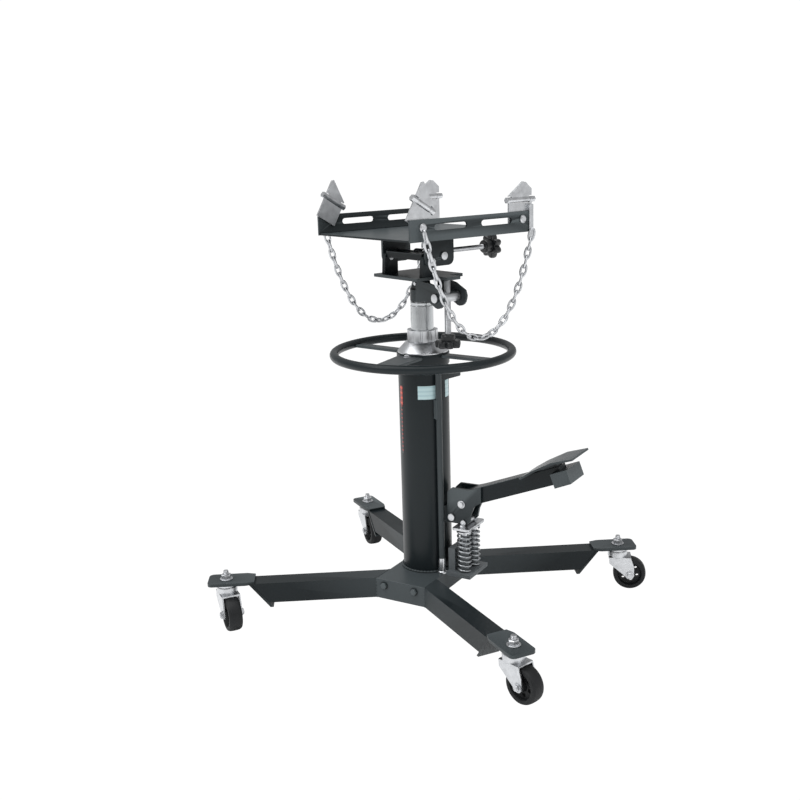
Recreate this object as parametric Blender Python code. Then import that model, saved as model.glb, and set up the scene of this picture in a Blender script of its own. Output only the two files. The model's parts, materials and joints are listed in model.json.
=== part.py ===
"""Transmission jack: four-leg base on casters, two-stage ram, tilting saddle with chains."""
import math

import bmesh
import bpy
from mathutils import Matrix, Vector

GAP = 0.0003                      # clearance between pieces that touch
AXIS_X = -0.006                   # column axis, from the middle of the whole footprint
FLOOR_Z = 0.0110                  # the floor's height in the frame that the pieces are modelled in

# base
HUB_HALF_X = 0.060
HUB_HALF_Y = 0.124
FRAME_BOTTOM = 0.0675
FRAME_TOP = 0.1125
LEG_SPLAY = math.radians(33.75)
LEG_LINE_Y = 0.056                # where a leg's centre line crosses the middle of the hub
LEG_HALF = 0.0225
LEG_REACH = 0.4145                # along the leg, from its line's start to the caster stem
TAB_TOP = 0.1185
TAB_UNDER = 0.1115
TAB_HALF = 0.028

# casters
WHEEL_R = 0.0375
WHEEL_HALF = 0.0150
AXLE_Z = FLOOR_Z + WHEEL_R
TRAIL = 0.028
FORK_IN = 0.0175
FORK_OUT = 0.0205
SWIVEL_R = 0.0225

# column and rams
COLUMN_R = 0.0545
COLUMN_BORE = 0.0465
COLUMN_TOP = 0.5745
OUTER_R = 0.0246
OUTER_BORE = 0.0185
OUTER_TOP = 0.7070
INNER_R = 0.0178
INNER_TOP = 0.7085
COLLAR_TOP = 0.5995
NUT_TOP = 0.6500

# carrying ring
RING_R = 0.1906
RING_TUBE = 0.0095
RING_Z = 0.5980

# pump and pedal
PLUNGER_X = 0.104
PLUNGER_Y = 0.0215
SEAT_Z = 0.1215
CROSS_Z = 0.2195
PIVOT_X = 0.075
PIVOT_Z = 0.242
ROLLER_Z = 0.2330
ARM_TILT = math.radians(21.2)
ARM_X = 0.136
ARM_Z = 0.297
ARM_HALF = 0.017

# release valve rod, beside the column
ROD_X = 0.0545
ROD_Y = -0.0330
ROD_R = 0.0065
LEVER_HEADING = math.radians(77)

# saddle, built along its own two directions: u along the rails, v across them
SADDLE_YAW = math.radians(69.7)
TILT_Z = 0.746                    # lower pivot, along u
PLATE_BOTTOM = 0.7605
PLATE_TOP = 0.7670
SCREW_V = 0.083                   # upright adjusting screw
TRUNNION_Z = 0.724
ROCK_U = -0.033                   # upper pivot, along v
ROCK_Z = 0.798
BAR_Z = 0.808                     # cross trunnion and level adjusting screw
TRAY_BOTTOM = 0.850
FLOOR_TOP = 0.854
RAIL_TOP = 0.892
TRAY_HALF_U = 0.165
TRAY_HALF_V = 0.1525
TRAY_U = 0.008                    # the tray's middle, from the column axis
TRAY_V = 0.0065
SHEET = 0.004
BOLT_U = 0.134                    # rail bolt of a corner bracket, from the tray's middle
BOLT_Z = 0.8765
LEAN = math.radians(30.6)         # the two brackets at the open end are turned in on their bolts


# ---------------------------------------------------------------- solids
def finish_bmesh(bm, place):
    """Turn a bmesh into a mesh with outward normals, moved by the matrix."""
    bmesh.ops.transform(bm, matrix=place, verts=bm.verts)
    bmesh.ops.recalc_face_normals(bm, faces=bm.faces)
    mesh = bpy.data.meshes.new("solid")
    bm.to_mesh(mesh)
    bm.free()
    return mesh


def prism(points, low, high, place=Matrix()):
    """A flat outline in local XY, extruded from low to high in local Z."""
    bm = bmesh.new()
    bottom = [bm.verts.new((x, y, low)) for x, y in points]
    top = [bm.verts.new((x, y, high)) for x, y in points]
    bm.faces.new(bottom)
    bm.faces.new(top)
    count = len(points)
    for i in range(count):
        j = (i + 1) % count
        bm.faces.new((bottom[i], bottom[j], top[j], top[i]))
    return finish_bmesh(bm, place)


def box(x0, x1, y0, y1, z0, z1, place=Matrix()):
    return prism([(x0, y0), (x1, y0), (x1, y1), (x0, y1)], z0, z1, place)


def lathe(profile, segments=32, place=Matrix()):
    """Spin (radius, height) points round local Z. Zero radius makes a pole."""
    bm = bmesh.new()
    rows = []
    for radius, height in profile:
        if radius < 1e-7:
            rows.append([bm.verts.new((0, 0, height))])
            continue
        row = []
        for i in range(segments):
            angle = 2 * math.pi * i / segments
            row.append(bm.verts.new((radius * math.cos(angle), radius * math.sin(angle), height)))
        rows.append(row)
    pairs = list(zip(rows, rows[1:]))
    if len(rows[0]) > 1:
        pairs.append((rows[-1], rows[0]))
    for lower, upper in pairs:
        for i in range(segments):
            j = (i + 1) % segments
            corners = [lower[i % len(lower)], lower[j % len(lower)]]
            corners += [upper[j % len(upper)], upper[i % len(upper)]]
            unique = list(dict.fromkeys(corners))
            if len(unique) > 2:
                bm.faces.new(unique)
    return finish_bmesh(bm, place)


def rod(radius, low, high, segments=24, place=Matrix()):
    return lathe([(0, low), (radius, low), (radius, high), (0, high)], segments, place)


def sweep(path, radius, sides=8, closed=False):
    """A round bar along a path of world points."""
    bm = bmesh.new()
    count = len(path)
    rows = []
    normal = None
    for i, point in enumerate(path):
        if closed:
            ahead = path[(i + 1) % count]
            behind = path[i - 1]
        else:
            ahead = path[min(i + 1, count - 1)]
            behind = path[max(i - 1, 0)]
        tangent = (ahead - behind).normalized()
        if normal is None:
            normal = tangent.orthogonal().normalized()
        normal = (normal - tangent * normal.dot(tangent)).normalized()
        side = tangent.cross(normal)
        row = []
        for k in range(sides):
            angle = 2 * math.pi * k / sides
            offset = normal * math.cos(angle) + side * math.sin(angle)
            row.append(bm.verts.new(point + offset * radius))
        rows.append(row)
    if closed:
        rows.append(rows[0])
    for lower, upper in zip(rows, rows[1:]):
        for k in range(sides):
            j = (k + 1) % sides
            bm.faces.new((lower[k], lower[j], upper[j], upper[k]))
    if not closed:
        bm.faces.new(rows[0])
        bm.faces.new(rows[-1])
    return finish_bmesh(bm, Matrix())


def arc(cx, cy, radius, start, end, steps=4):
    """Points on a circle, angles in degrees."""
    points = []
    for i in range(steps + 1):
        angle = math.radians(start + (end - start) * i / steps)
        points.append((cx + radius * math.cos(angle), cy + radius * math.sin(angle)))
    return points


def hexagon(radius, low, high, place=Matrix()):
    return prism(arc(0, 0, radius, 0, 300, 5), low, high, place)


def slot(u0, u1, z0, z1):
    """Outline of a round-ended slot."""
    half = (z1 - z0) / 2
    middle = (z0 + z1) / 2
    return arc(u1 - half, middle, half, -90, 90) + arc(u0 + half, middle, half, 90, 270)


def combine(parts, cuts=()):
    """Weld overlapping solids into one and take the cuts away."""
    host = bpy.data.objects.new("host", parts[0])
    bpy.context.collection.objects.link(host)
    helpers = [host]
    jobs = [(mesh, "UNION") for mesh in parts[1:]]
    jobs += [(mesh, "DIFFERENCE") for mesh in cuts]
    for mesh, operation in jobs:
        helper = bpy.data.objects.new("helper", mesh)
        bpy.context.collection.objects.link(helper)
        helpers.append(helper)
        modifier = host.modifiers.new("weld", "BOOLEAN")
        modifier.solver = "EXACT"
        modifier.operation = operation
        modifier.object = helper
    graph = bpy.context.evaluated_depsgraph_get()
    result = bpy.data.meshes.new_from_object(host.evaluated_get(graph))
    for helper in helpers:
        bpy.data.objects.remove(helper)
    bm = bmesh.new()
    bm.from_mesh(result)
    bmesh.ops.remove_doubles(bm, verts=bm.verts, dist=2e-6)
    bmesh.ops.dissolve_degenerate(bm, edges=bm.edges, dist=2e-6)
    bm.to_mesh(result)
    bm.free()
    return result


# ---------------------------------------------------------------- materials
def paint(name, colour, roughness, metallic):
    material = bpy.data.materials.new(name)
    material.use_nodes = True
    shader = material.node_tree.nodes["Principled BSDF"]
    shader.inputs["Base Color"].default_value = (*colour, 1.0)
    shader.inputs["Roughness"].default_value = roughness
    shader.inputs["Metallic"].default_value = metallic
    return material


LOOKS = {
    "paint": ((0.030, 0.036, 0.038), 0.42, 0.0),
    "zinc": ((0.62, 0.63, 0.65), 0.38, 1.0),
    "chrome": ((0.72, 0.73, 0.75), 0.16, 1.0),
    "steel": ((0.42, 0.43, 0.45), 0.35, 1.0),
    "casting": ((0.20, 0.21, 0.22), 0.55, 0.6),
    "rubber": ((0.018, 0.019, 0.020), 0.62, 0.0),
    "plastic": ((0.022, 0.024, 0.026), 0.48, 0.0),
}


def add(name, mesh, look, origin=(0, 0, 0)):
    """Make the named object, modelled about the column axis, with its origin at the given point."""
    origin = Vector(origin)
    shift = Vector((AXIS_X, 0, -FLOOR_Z))
    mesh.transform(Matrix.Translation(-origin))
    mesh.name = name
    mesh.materials.clear()
    mesh.materials.append(paint(name + "_" + look, *LOOKS[look]))
    mesh.shade_smooth()
    mesh.set_sharp_from_angle(angle=math.radians(38))
    item = bpy.data.objects.new(name, mesh)
    item.location = origin + shift
    bpy.context.collection.objects.link(item)
    return item


# ---------------------------------------------------------------- placing
def axes(local_x, local_y, local_z, origin=(0, 0, 0)):
    """Matrix whose columns are the world directions of the local axes."""
    place = Matrix((local_x, local_y, local_z)).transposed().to_4x4()
    place.translation = Vector(origin)
    return place


U = Vector((math.cos(SADDLE_YAW), math.sin(SADDLE_YAW), 0))
V = Vector((math.sin(SADDLE_YAW), -math.cos(SADDLE_YAW), 0))
UP = Vector((0, 0, 1))
IN_UV = axes(U, V, UP)
ACROSS_U = axes(V, UP, U)         # outline in (v, z), thickness along u
ACROSS_V = axes(U, UP, V)         # outline in (u, z), thickness along v
ACROSS_Y = axes((1, 0, 0), (0, 0, 1), (0, 1, 0))   # outline in (x, z), thickness along y


def saddle_point(u, v, z):
    return U * u + V * v + UP * z


def along_u(u, v, z):
    """Lathe frame whose axis runs along u through the point."""
    return axes(V, UP, U, saddle_point(u, v, z))


def along_v(u, v, z):
    return axes(U, UP, V, saddle_point(u, v, z))


def along_y(x, y, z):
    return axes((1, 0, 0), (0, 0, 1), (0, 1, 0), (x, y, z))


# ---------------------------------------------------------------- base
CORNERS = {
    "front_left": (1, 1, 22),
    "front_right": (1, -1, -18),
    "rear_left": (-1, 1, -37),
    "rear_right": (-1, -1, -35),
}


def stem_point(sx, sy):
    return (sx * LEG_REACH * math.cos(LEG_SPLAY), sy * (LEG_LINE_Y + LEG_REACH * math.sin(LEG_SPLAY)))


def build_leg(name, sx, sy):
    along = Vector((sx * math.cos(LEG_SPLAY), sy * math.sin(LEG_SPLAY), 0))
    across = Vector((-along.y, along.x, 0))
    place = axes(along, across, UP, (0, sy * LEG_LINE_Y, 0))
    start = (HUB_HALF_X + GAP) / math.cos(LEG_SPLAY)
    slope = math.tan(LEG_SPLAY) * sx * sy
    top_end = LEG_REACH - 0.053
    low_end = LEG_REACH - 0.091
    bm = bmesh.new()
    rings = []
    for side in (-LEG_HALF, LEG_HALF):
        inner = start + side * slope
        outline = ((inner, FRAME_BOTTOM), (low_end, FRAME_BOTTOM), (top_end, FRAME_TOP), (inner, FRAME_TOP))
        rings.append([bm.verts.new((t, side, z)) for t, z in outline])
    bm.faces.new(rings[0])
    bm.faces.new(rings[1])
    for i in range(4):
        j = (i + 1) % 4
        bm.faces.new((rings[0][i], rings[0][j], rings[1][j], rings[1][i]))
    tube = finish_bmesh(bm, place)
    end_plate = prism(
        [(top_end - 0.002, TAB_UNDER + 0.002), (top_end + 0.005, TAB_UNDER + 0.002),
         (LEG_REACH - 0.094, 0.0570), (LEG_REACH - 0.101, 0.0570)],
        -LEG_HALF - 0.001, LEG_HALF + 0.001, place @ axes((1, 0, 0), (0, 0, 1), (0, 1, 0)))
    near, far, corner = LEG_REACH - 0.056, LEG_REACH + 0.039, 0.010
    outline = arc(far - corner, TAB_HALF - corner, corner, 90, 0, 4)
    outline += arc(far - corner, -TAB_HALF + corner, corner, 0, -90, 4)
    outline += [(near + 0.012, -TAB_HALF), (near - 0.006, -LEG_HALF + 0.0006)]
    outline += [(near - 0.006, LEG_HALF - 0.0006), (near + 0.012, TAB_HALF)]
    tab = prism(outline, TAB_UNDER, TAB_TOP, place)
    hole = rod(0.0065, TAB_UNDER - 0.02, TAB_TOP + 0.02, 20, place @ Matrix.Translation((LEG_REACH, 0, 0)))
    add("leg_" + name, combine([tube, end_plate, tab], [hole]), "paint")


def build_caster(name, sx, sy, heading):
    x, y = stem_point(sx, sy)
    place = Matrix.Translation((x, y, 0)) @ Matrix.Rotation(math.radians(heading), 4, "Z")
    side = place @ axes((1, 0, 0), (0, 0, 1), (0, 1, 0))
    shank = lathe([
        (0, 0.0835), (0.010, 0.0835), (0.010, 0.0866), (0.0060, 0.0866), (0.0060, 0.1045),
        (0.0210, 0.1045), (SWIVEL_R, 0.1060), (SWIVEL_R, 0.1100), (0.0210, 0.1111),
        (0.0060, 0.1111), (0.0060, 0.1385), (0, 0.1385)], 16, place)
    nut = hexagon(0.0110, TAB_TOP + GAP, 0.1310, place)
    add("caster_stem_" + name, combine([shank, nut]), "zinc", (x, y, 0.1045))

    race = lathe([(0, 0.0880), (0.0205, 0.0880), (SWIVEL_R, 0.0900), (SWIVEL_R, 0.1015),
                  (0.0210, 0.1040), (0, 0.1040)], 20, place)
    crown = box(-0.0206, 0.0306, 0.0003 - FORK_OUT, FORK_OUT - 0.0003, 0.0870, 0.0905, place)
    cheek = [(-0.0200, 0.0904), (-0.0190, 0.0760)]
    cheek += arc(TRAIL, AXLE_Z, 0.0105, 200, 380, 5)
    cheek += [(0.0375, 0.0680), (0.0300, 0.0904)]
    parts = [crown, race]
    for low, high in ((-FORK_OUT, -FORK_IN), (FORK_IN, FORK_OUT)):
        parts.append(prism(cheek, low, high, side))
    axle_frame = place @ axes((1, 0, 0), (0, 0, 1), (0, 1, 0), (TRAIL, 0, AXLE_Z))
    cuts = [rod(0.0066, 0.08, 0.12, 16, place), rod(0.0046, -0.04, 0.04, 12, axle_frame)]
    add("caster_fork_" + name, combine(parts, cuts), "zinc", (x, y, 0.0870))

    half = WHEEL_HALF
    boss = FORK_IN - 0.0008
    profile = [
        (0.0046, -boss), (0.0115, -boss), (0.0115, -0.0060), (0.0260, -0.0060), (0.0270, -half),
        (0.0345, -half), (WHEEL_R, -0.0105), (WHEEL_R, 0.0105), (0.0345, half), (0.0270, half),
        (0.0260, 0.0060), (0.0115, 0.0060), (0.0115, boss), (0.0046, boss)]
    wheel = lathe(profile, 24, axle_frame)
    holes = []
    for k in range(6):
        turn = Matrix.Rotation(math.radians(60 * k + 19), 4, "Z")
        holes.append(rod(0.0040, -0.02, 0.02, 8, axle_frame @ turn @ Matrix.Translation((0.0188, 0, 0))))
    centre = axle_frame.translation
    add("caster_wheel_" + name, combine([wheel], holes), "rubber", centre)

    axle = rod(0.0041, -FORK_OUT - 0.0065, FORK_OUT + 0.0035, 16, axle_frame)
    head = hexagon(0.0078, FORK_OUT + GAP, FORK_OUT + 0.0050, axle_frame)
    nut = hexagon(0.0078, -FORK_OUT - 0.0058, -FORK_OUT - GAP, axle_frame)
    add("caster_axle_" + name, combine([axle, head, nut]), "zinc", centre)


def build_base():
    add("base_hub", box(-HUB_HALF_X, HUB_HALF_X, -HUB_HALF_Y, HUB_HALF_Y, FRAME_BOTTOM, FRAME_TOP), "paint")
    for name, (sx, sy, heading) in CORNERS.items():
        build_leg(name, sx, sy)
        build_caster(name, sx, sy, heading)


# ---------------------------------------------------------------- column and rams
def build_column():
    low = FRAME_TOP + GAP
    column = lathe([
        (0, low), (0.0590, low), (COLUMN_R, low + 0.006), (COLUMN_R, COLUMN_TOP),
        (COLUMN_BORE, COLUMN_TOP), (COLUMN_BORE, low + 0.010), (0, low + 0.010)], 48)
    add("column_tube", column, "paint")

    ring_low, ring_high = COLUMN_TOP + GAP, COLLAR_TOP
    collar = lathe([(0.0300, ring_low), (0.0568, ring_low), (0.0568, ring_high), (0.0300, ring_high)], 32)
    circle = []
    for i in range(48):
        angle = 2 * math.pi * i / 48
        circle.append(Vector((RING_R * math.cos(angle), RING_R * math.sin(angle), RING_Z)))
    parts = [collar, sweep(circle, RING_TUBE, 8, closed=True)]
    for bearing, near_half, far_half in ((172, 0.013, 0.013), (-4, 0.013, 0.013), (-90, 0.030, 0.022)):
        turn = Matrix.Rotation(math.radians(bearing), 4, "Z")
        outline = [(0.045, -near_half), (RING_R, -far_half), (RING_R, far_half), (0.045, near_half)]
        parts.append(prism(outline, 0.5915, 0.5975, turn))
    add("handle_ring", combine(parts), "paint")

    gland = lathe([
        (OUTER_R + 0.0005, 0.5800), (0.0295, 0.5800), (0.0295, COLLAR_TOP + GAP), (0.0545, COLLAR_TOP + GAP),
        (0.0545, 0.6030), (0.0400, 0.6190), (0.0360, 0.6225), (0.0330, 0.6225), (0.0330, 0.6480),
        (0.0310, NUT_TOP), (OUTER_R + 0.0005, NUT_TOP)], 32)
    add("gland_nut", gland, "chrome")

    outer = lathe([
        (OUTER_BORE, 0.1350), (0.0462, 0.1350), (0.0462, 0.1600), (OUTER_R, 0.1640), (OUTER_R, OUTER_TOP - 0.001),
        (OUTER_R - 0.001, OUTER_TOP), (OUTER_BORE, OUTER_TOP)], 32)
    add("outer_ram", outer, "chrome", (0, 0, 0.1350))
    inner = lathe([
        (0, 0.1500), (0.0182, 0.1500), (0.0182, 0.1700), (INNER_R, 0.1710), (INNER_R, INNER_TOP),
        (0.0120, INNER_TOP), (0.0120, 0.7300), (0, 0.7300)], 24)
    add("inner_ram", inner, "chrome", (0, 0, 0.1500))


def build_release():
    place = Matrix.Translation((ROD_X, ROD_Y, 0))
    valve = lathe([(0, FRAME_TOP + GAP), (0.0100, FRAME_TOP + GAP), (0.0100, 0.1165), (0.0082, 0.1180),
                   (0.0082, 0.1380), (0.0070, 0.1470), (0, 0.1470)], 24, place)
    relief = rod(0.0600, 0.10, 0.16, 48)
    add("release_valve", combine([valve], [relief]), "chrome")
    shaft = rod(ROD_R, 0.1473, 0.5640, 20, place)
    wing = [(-0.004, -0.0030), (0.066, -0.0025), (0.072, 0.000), (0.066, 0.0025), (-0.004, 0.0030)]
    lever = prism(wing, 0.5450, 0.5630, place @ Matrix.Rotation(LEVER_HEADING, 4, "Z"))
    add("release_rod", combine([shaft, lever]), "paint", (ROD_X, ROD_Y, 0.1473))


# ---------------------------------------------------------------- pump and pedal
def spring_path(x, y, low, high, radius, turns, steps):
    points = []
    for i in range(turns * steps + 1):
        part = i / (turns * steps)
        eased = part + 0.016 * math.sin(2 * math.pi * (part - 0.5)) * 2
        angle = 2 * math.pi * turns * part
        points.append(Vector((x + radius * math.cos(angle), y + radius * math.sin(angle), low + (high - low) * eased)))
    return points


def build_pump():
    block = box(0.0690, 0.1280, -0.0430, 0.0430, FRAME_TOP + GAP, SEAT_Z)
    reservoir = box(0.0690, 0.0850, -0.0300, 0.0300, SEAT_Z - 0.004, 0.1720)
    parts = [block, reservoir]
    cuts = [rod(COLUMN_R + 0.0055, 0.10, 0.20, 48)]
    for side in (-1, 1):
        place = Matrix.Translation((PLUNGER_X, side * PLUNGER_Y, 0))
        parts.append(rod(0.0102, SEAT_Z - 0.004, 0.1700, 24, place))
        cuts.append(rod(0.0084, 0.1235, 0.20, 24, place))
    add("pump_block", combine(parts, cuts), "casting")
    for name, side in (("left", 1), ("right", -1)):
        y = side * PLUNGER_Y
        place = Matrix.Translation((PLUNGER_X, y, 0))
        plunger = lathe([(0, 0.1500), (0.0080, 0.1500), (0.0080, 0.2120), (0.0162, 0.2120),
                         (0.0162, 0.2150), (0.0080, 0.2165), (0.0080, 0.2192), (0, 0.2192)], 24, place)
        add("plunger_" + name, plunger, "chrome", (PLUNGER_X, y, 0.1500))
        coil = spring_path(PLUNGER_X, y, SEAT_Z + 0.0023, 0.2096, 0.0134, 8, 10)
        add("spring_" + name, sweep(coil, 0.0019, 5), "steel", (PLUNGER_X, y, SEAT_Z))
    corner = 0.006
    outline = arc(0.124 - corner, 0.041 - corner, corner, 90, 0, 3)
    outline += arc(0.124 - corner, -0.041 + corner, corner, 0, -90, 3)
    outline += arc(0.084 + corner, -0.041 + corner, corner, -90, -180, 3)
    outline += arc(0.084 + corner, 0.041 - corner, corner, 180, 90, 3)
    add("plunger_bridge", prism(outline, CROSS_Z, CROSS_Z + 0.005), "zinc", (PLUNGER_X, 0, CROSS_Z))


def build_pedal():
    lug = box(0.040, 0.0700, -0.0160, 0.0160, 0.2260, 0.2620)
    nose = rod(0.0110, -0.0160, 0.0160, 24, along_y(PIVOT_X, 0, PIVOT_Z))
    cuts = [rod(COLUMN_R + GAP, 0.10, 0.40, 48), rod(0.0058, -0.03, 0.03, 20, along_y(PIVOT_X, 0, PIVOT_Z))]
    bridge = box(0.0650, PIVOT_X, -0.0160, 0.0160, 0.2312, 0.2528)
    add("pedal_bracket", combine([lug, nose, bridge], cuts), "paint")

    cosine, sine = math.cos(ARM_TILT), math.sin(ARM_TILT)
    arm_frame = axes((cosine, 0, sine), (-sine, 0, cosine), (0, 1, 0), (ARM_X, 0, ARM_Z))
    beam = prism([(-0.040, -ARM_HALF), (0.205, -ARM_HALF), (0.205, ARM_HALF), (-0.046, ARM_HALF)],
                 -ARM_HALF, ARM_HALF, arm_frame)
    shoe = prism([(0.190, -0.0215), (0.228, -0.0205), (0.228, 0.0090), (0.190, 0.0090)], -0.0360, 0.0360, arm_frame)
    tread = [(0.126, 0.0150), (0.160, 0.0225), (0.205, 0.0285), (0.252, 0.0255),
             (0.252, 0.0295), (0.205, 0.0328), (0.158, 0.0266), (0.124, 0.0190)]
    pad = prism(tread, -0.0450, 0.0450, arm_frame)
    web = prism([(0.150, 0.0150), (0.200, 0.0150), (0.200, 0.0300), (0.175, 0.0265)], -0.0120, 0.0120, arm_frame)
    cheek = arc(PIVOT_X, PIVOT_Z, 0.0130, 150, 270, 6)
    cheek += [(0.1100, 0.2290), (0.1180, 0.2360), (0.1220, 0.2560), (0.1300, 0.2735), (0.1460, 0.2835),
              (0.1460, 0.3180), (0.1200, 0.3090), (0.0760, 0.3085), (0.0650, 0.2980)]
    parts = [beam, shoe, pad, web]
    for low, high in ((-0.0225, -0.0165), (0.0165, 0.0225)):
        parts.append(prism(cheek, low, high, ACROSS_Y))
    cuts = [rod(0.0053, -0.03, 0.03, 20, along_y(PIVOT_X, 0, PIVOT_Z)),
            rod(0.0043, -0.03, 0.03, 20, along_y(PLUNGER_X, 0, ROLLER_Z + 0.0002))]
    add("pedal_arm", combine(parts, cuts), "paint", (PIVOT_X, 0, PIVOT_Z))

    pin = lathe([(0, -0.0275), (0.0080, -0.0268), (0.0080, -0.0228), (0.0050, -0.0228), (0.0050, 0.0228),
                 (0.0080, 0.0228), (0.0080, 0.0268), (0, 0.0275)], 20, along_y(PIVOT_X, 0, PIVOT_Z))
    add("pedal_pivot_pin", pin, "zinc", (PIVOT_X, 0, PIVOT_Z))
    roller = lathe([(0, -0.0265), (0.0062, -0.0260), (0.0062, -0.0228), (0.0040, -0.0228), (0.0040, -0.0160),
                    (0.0080, -0.0160), (0.0080, 0.0160), (0.0040, 0.0160), (0.0040, 0.0228), (0.0062, 0.0228),
                    (0.0062, 0.0260), (0, 0.0265)], 20, along_y(PLUNGER_X, 0, ROLLER_Z + 0.0002))
    add("pedal_roller", roller, "steel", (PLUNGER_X, 0, ROLLER_Z + 0.0002))


# ---------------------------------------------------------------- saddle
def star_knob(lobes, inner, outer, low, high, place):
    points = []
    for i in range(lobes * 5):
        angle = 2 * math.pi * i / (lobes * 5)
        wave = 0.5 + 0.5 * math.cos(lobes * angle)
        radius = inner + (outer - inner) * wave ** 0.6
        points.append((radius * math.cos(angle), radius * math.sin(angle)))
    return prism(points, low, high, place)


def build_socket():
    body = lathe([(0, 0.7090), (0.0240, 0.7090), (0.0247, 0.7100), (0.0247, 0.7340), (0, 0.7340)], 28)
    prong = arc(0, TILT_Z, 0.0090, 0, 180, 8) + [(-0.0160, 0.7320), (0.0160, 0.7320)]
    parts = [body]
    for low, high in ((-0.0175, -0.0105), (0.0105, 0.0175)):
        parts.append(prism(prong, low, high, ACROSS_U))
    parts.append(box(-0.0310, 0.0310, 0.0170, 0.0260, 0.7135, 0.7325, IN_UV))
    ear = [(0.0200, 0.7140), (0.0200, 0.7480), (0.0300, 0.7560), (0.0620, 0.7535), (0.0760, 0.7510),
           (0.1060, 0.7370), (0.1100, 0.7260)]
    ear += arc(SCREW_V + 0.006, TRUNNION_Z - 0.001, 0.0200, -10, -130, 6)
    ear += [(0.0620, 0.7140)]
    for low, high in ((-0.0325, -0.0275), (0.0275, 0.0325)):
        parts.append(prism(ear, low, high, ACROSS_U))
    cuts = [rod(0.0123, 0.70, 0.7303, 28), rod(0.0043, -0.03, 0.03, 16, along_u(0, 0, TILT_Z)),
            rod(0.0063, -0.04, 0.04, 20, along_u(0, SCREW_V, TRUNNION_Z))]
    add("saddle_socket", combine(parts, cuts), "paint", (0, 0, 0.7090))

    pin = rod(0.0040, -0.0190, 0.0190, 16, along_u(0, 0, TILT_Z))
    add("tilt_pin", pin, "zinc", (0, 0, TILT_Z))
    centre = saddle_point(0, SCREW_V, TRUNNION_Z)
    trunnion = lathe([(0, -0.0375), (0.0095, -0.0365), (0.0095, -0.0328), (0.0060, -0.0328), (0.0060, -0.0260),
                      (0.0110, -0.0260), (0.0110, 0.0260), (0.0060, 0.0260), (0.0060, 0.0328), (0.0095, 0.0328),
                      (0.0095, 0.0365), (0, 0.0375)], 16, along_u(0, SCREW_V, TRUNNION_Z))
    bore = rod(0.0073, 0.70, 0.76, 20, Matrix.Translation((centre.x, centre.y, 0)))
    add("tilt_trunnion", combine([trunnion], [bore]), "zinc", centre)

    upright = Matrix.Translation((centre.x, centre.y, 0))
    screw = lathe([(0, 0.6465), (0.0070, 0.6465), (0.0070, 0.7555), (0.0045, 0.7595), (0, 0.7595)], 20, upright)
    add("tilt_screw", screw, "zinc", (centre.x, centre.y, 0.6465))
    star = star_knob(7, 0.0195, 0.0275, 0.6185, 0.6335, upright)
    hub = lathe([(0, 0.6180), (0.0130, 0.6180), (0.0150, 0.6200), (0.0150, 0.6430), (0.0130, 0.6462), (0, 0.6462)],
                24, upright)
    add("tilt_knob", combine([star, hub]), "plastic", (centre.x, centre.y, 0.6180))


def build_cradle():
    plate = prism([(-0.070, -0.072), (0.055, -0.072), (0.055, 0.070), (0.018, 0.070), (0.018, 0.104),
                   (-0.018, 0.104), (-0.018, 0.070), (-0.070, 0.070)], PLATE_BOTTOM, PLATE_TOP, IN_UV)
    tongue = arc(0, TILT_Z, 0.0085, 180, 360, 8) + [(0.0085, PLATE_BOTTOM + 0.002), (-0.0085, PLATE_BOTTOM + 0.002)]
    parts = [plate, prism(tongue, -0.0100, 0.0100, ACROSS_U)]
    post = [(-0.0520, PLATE_TOP - 0.003), (-0.0160, PLATE_TOP - 0.003)]
    post += arc(ROCK_U, ROCK_Z, 0.0170, 0, 180, 10)
    for low, high in ((-0.0670, -0.0570), (0.0570, 0.0670)):
        parts.append(prism(post, low, high, ACROSS_V))
    parts.append(box(-0.0460, -0.0260, -0.0580, 0.0580, 0.8000, 0.8135, IN_UV))
    cuts = [rod(0.0043, -0.02, 0.02, 16, along_u(0, 0, TILT_Z)),
            rod(0.0054, -0.10, 0.10, 20, along_v(ROCK_U, 0, ROCK_Z)),
            box(-0.0600, 0.0100, -0.0560, 0.0560, 0.7850, 0.7960, IN_UV)]
    add("tilt_frame", combine(parts, cuts), "paint", (0, 0, TILT_Z))


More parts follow.
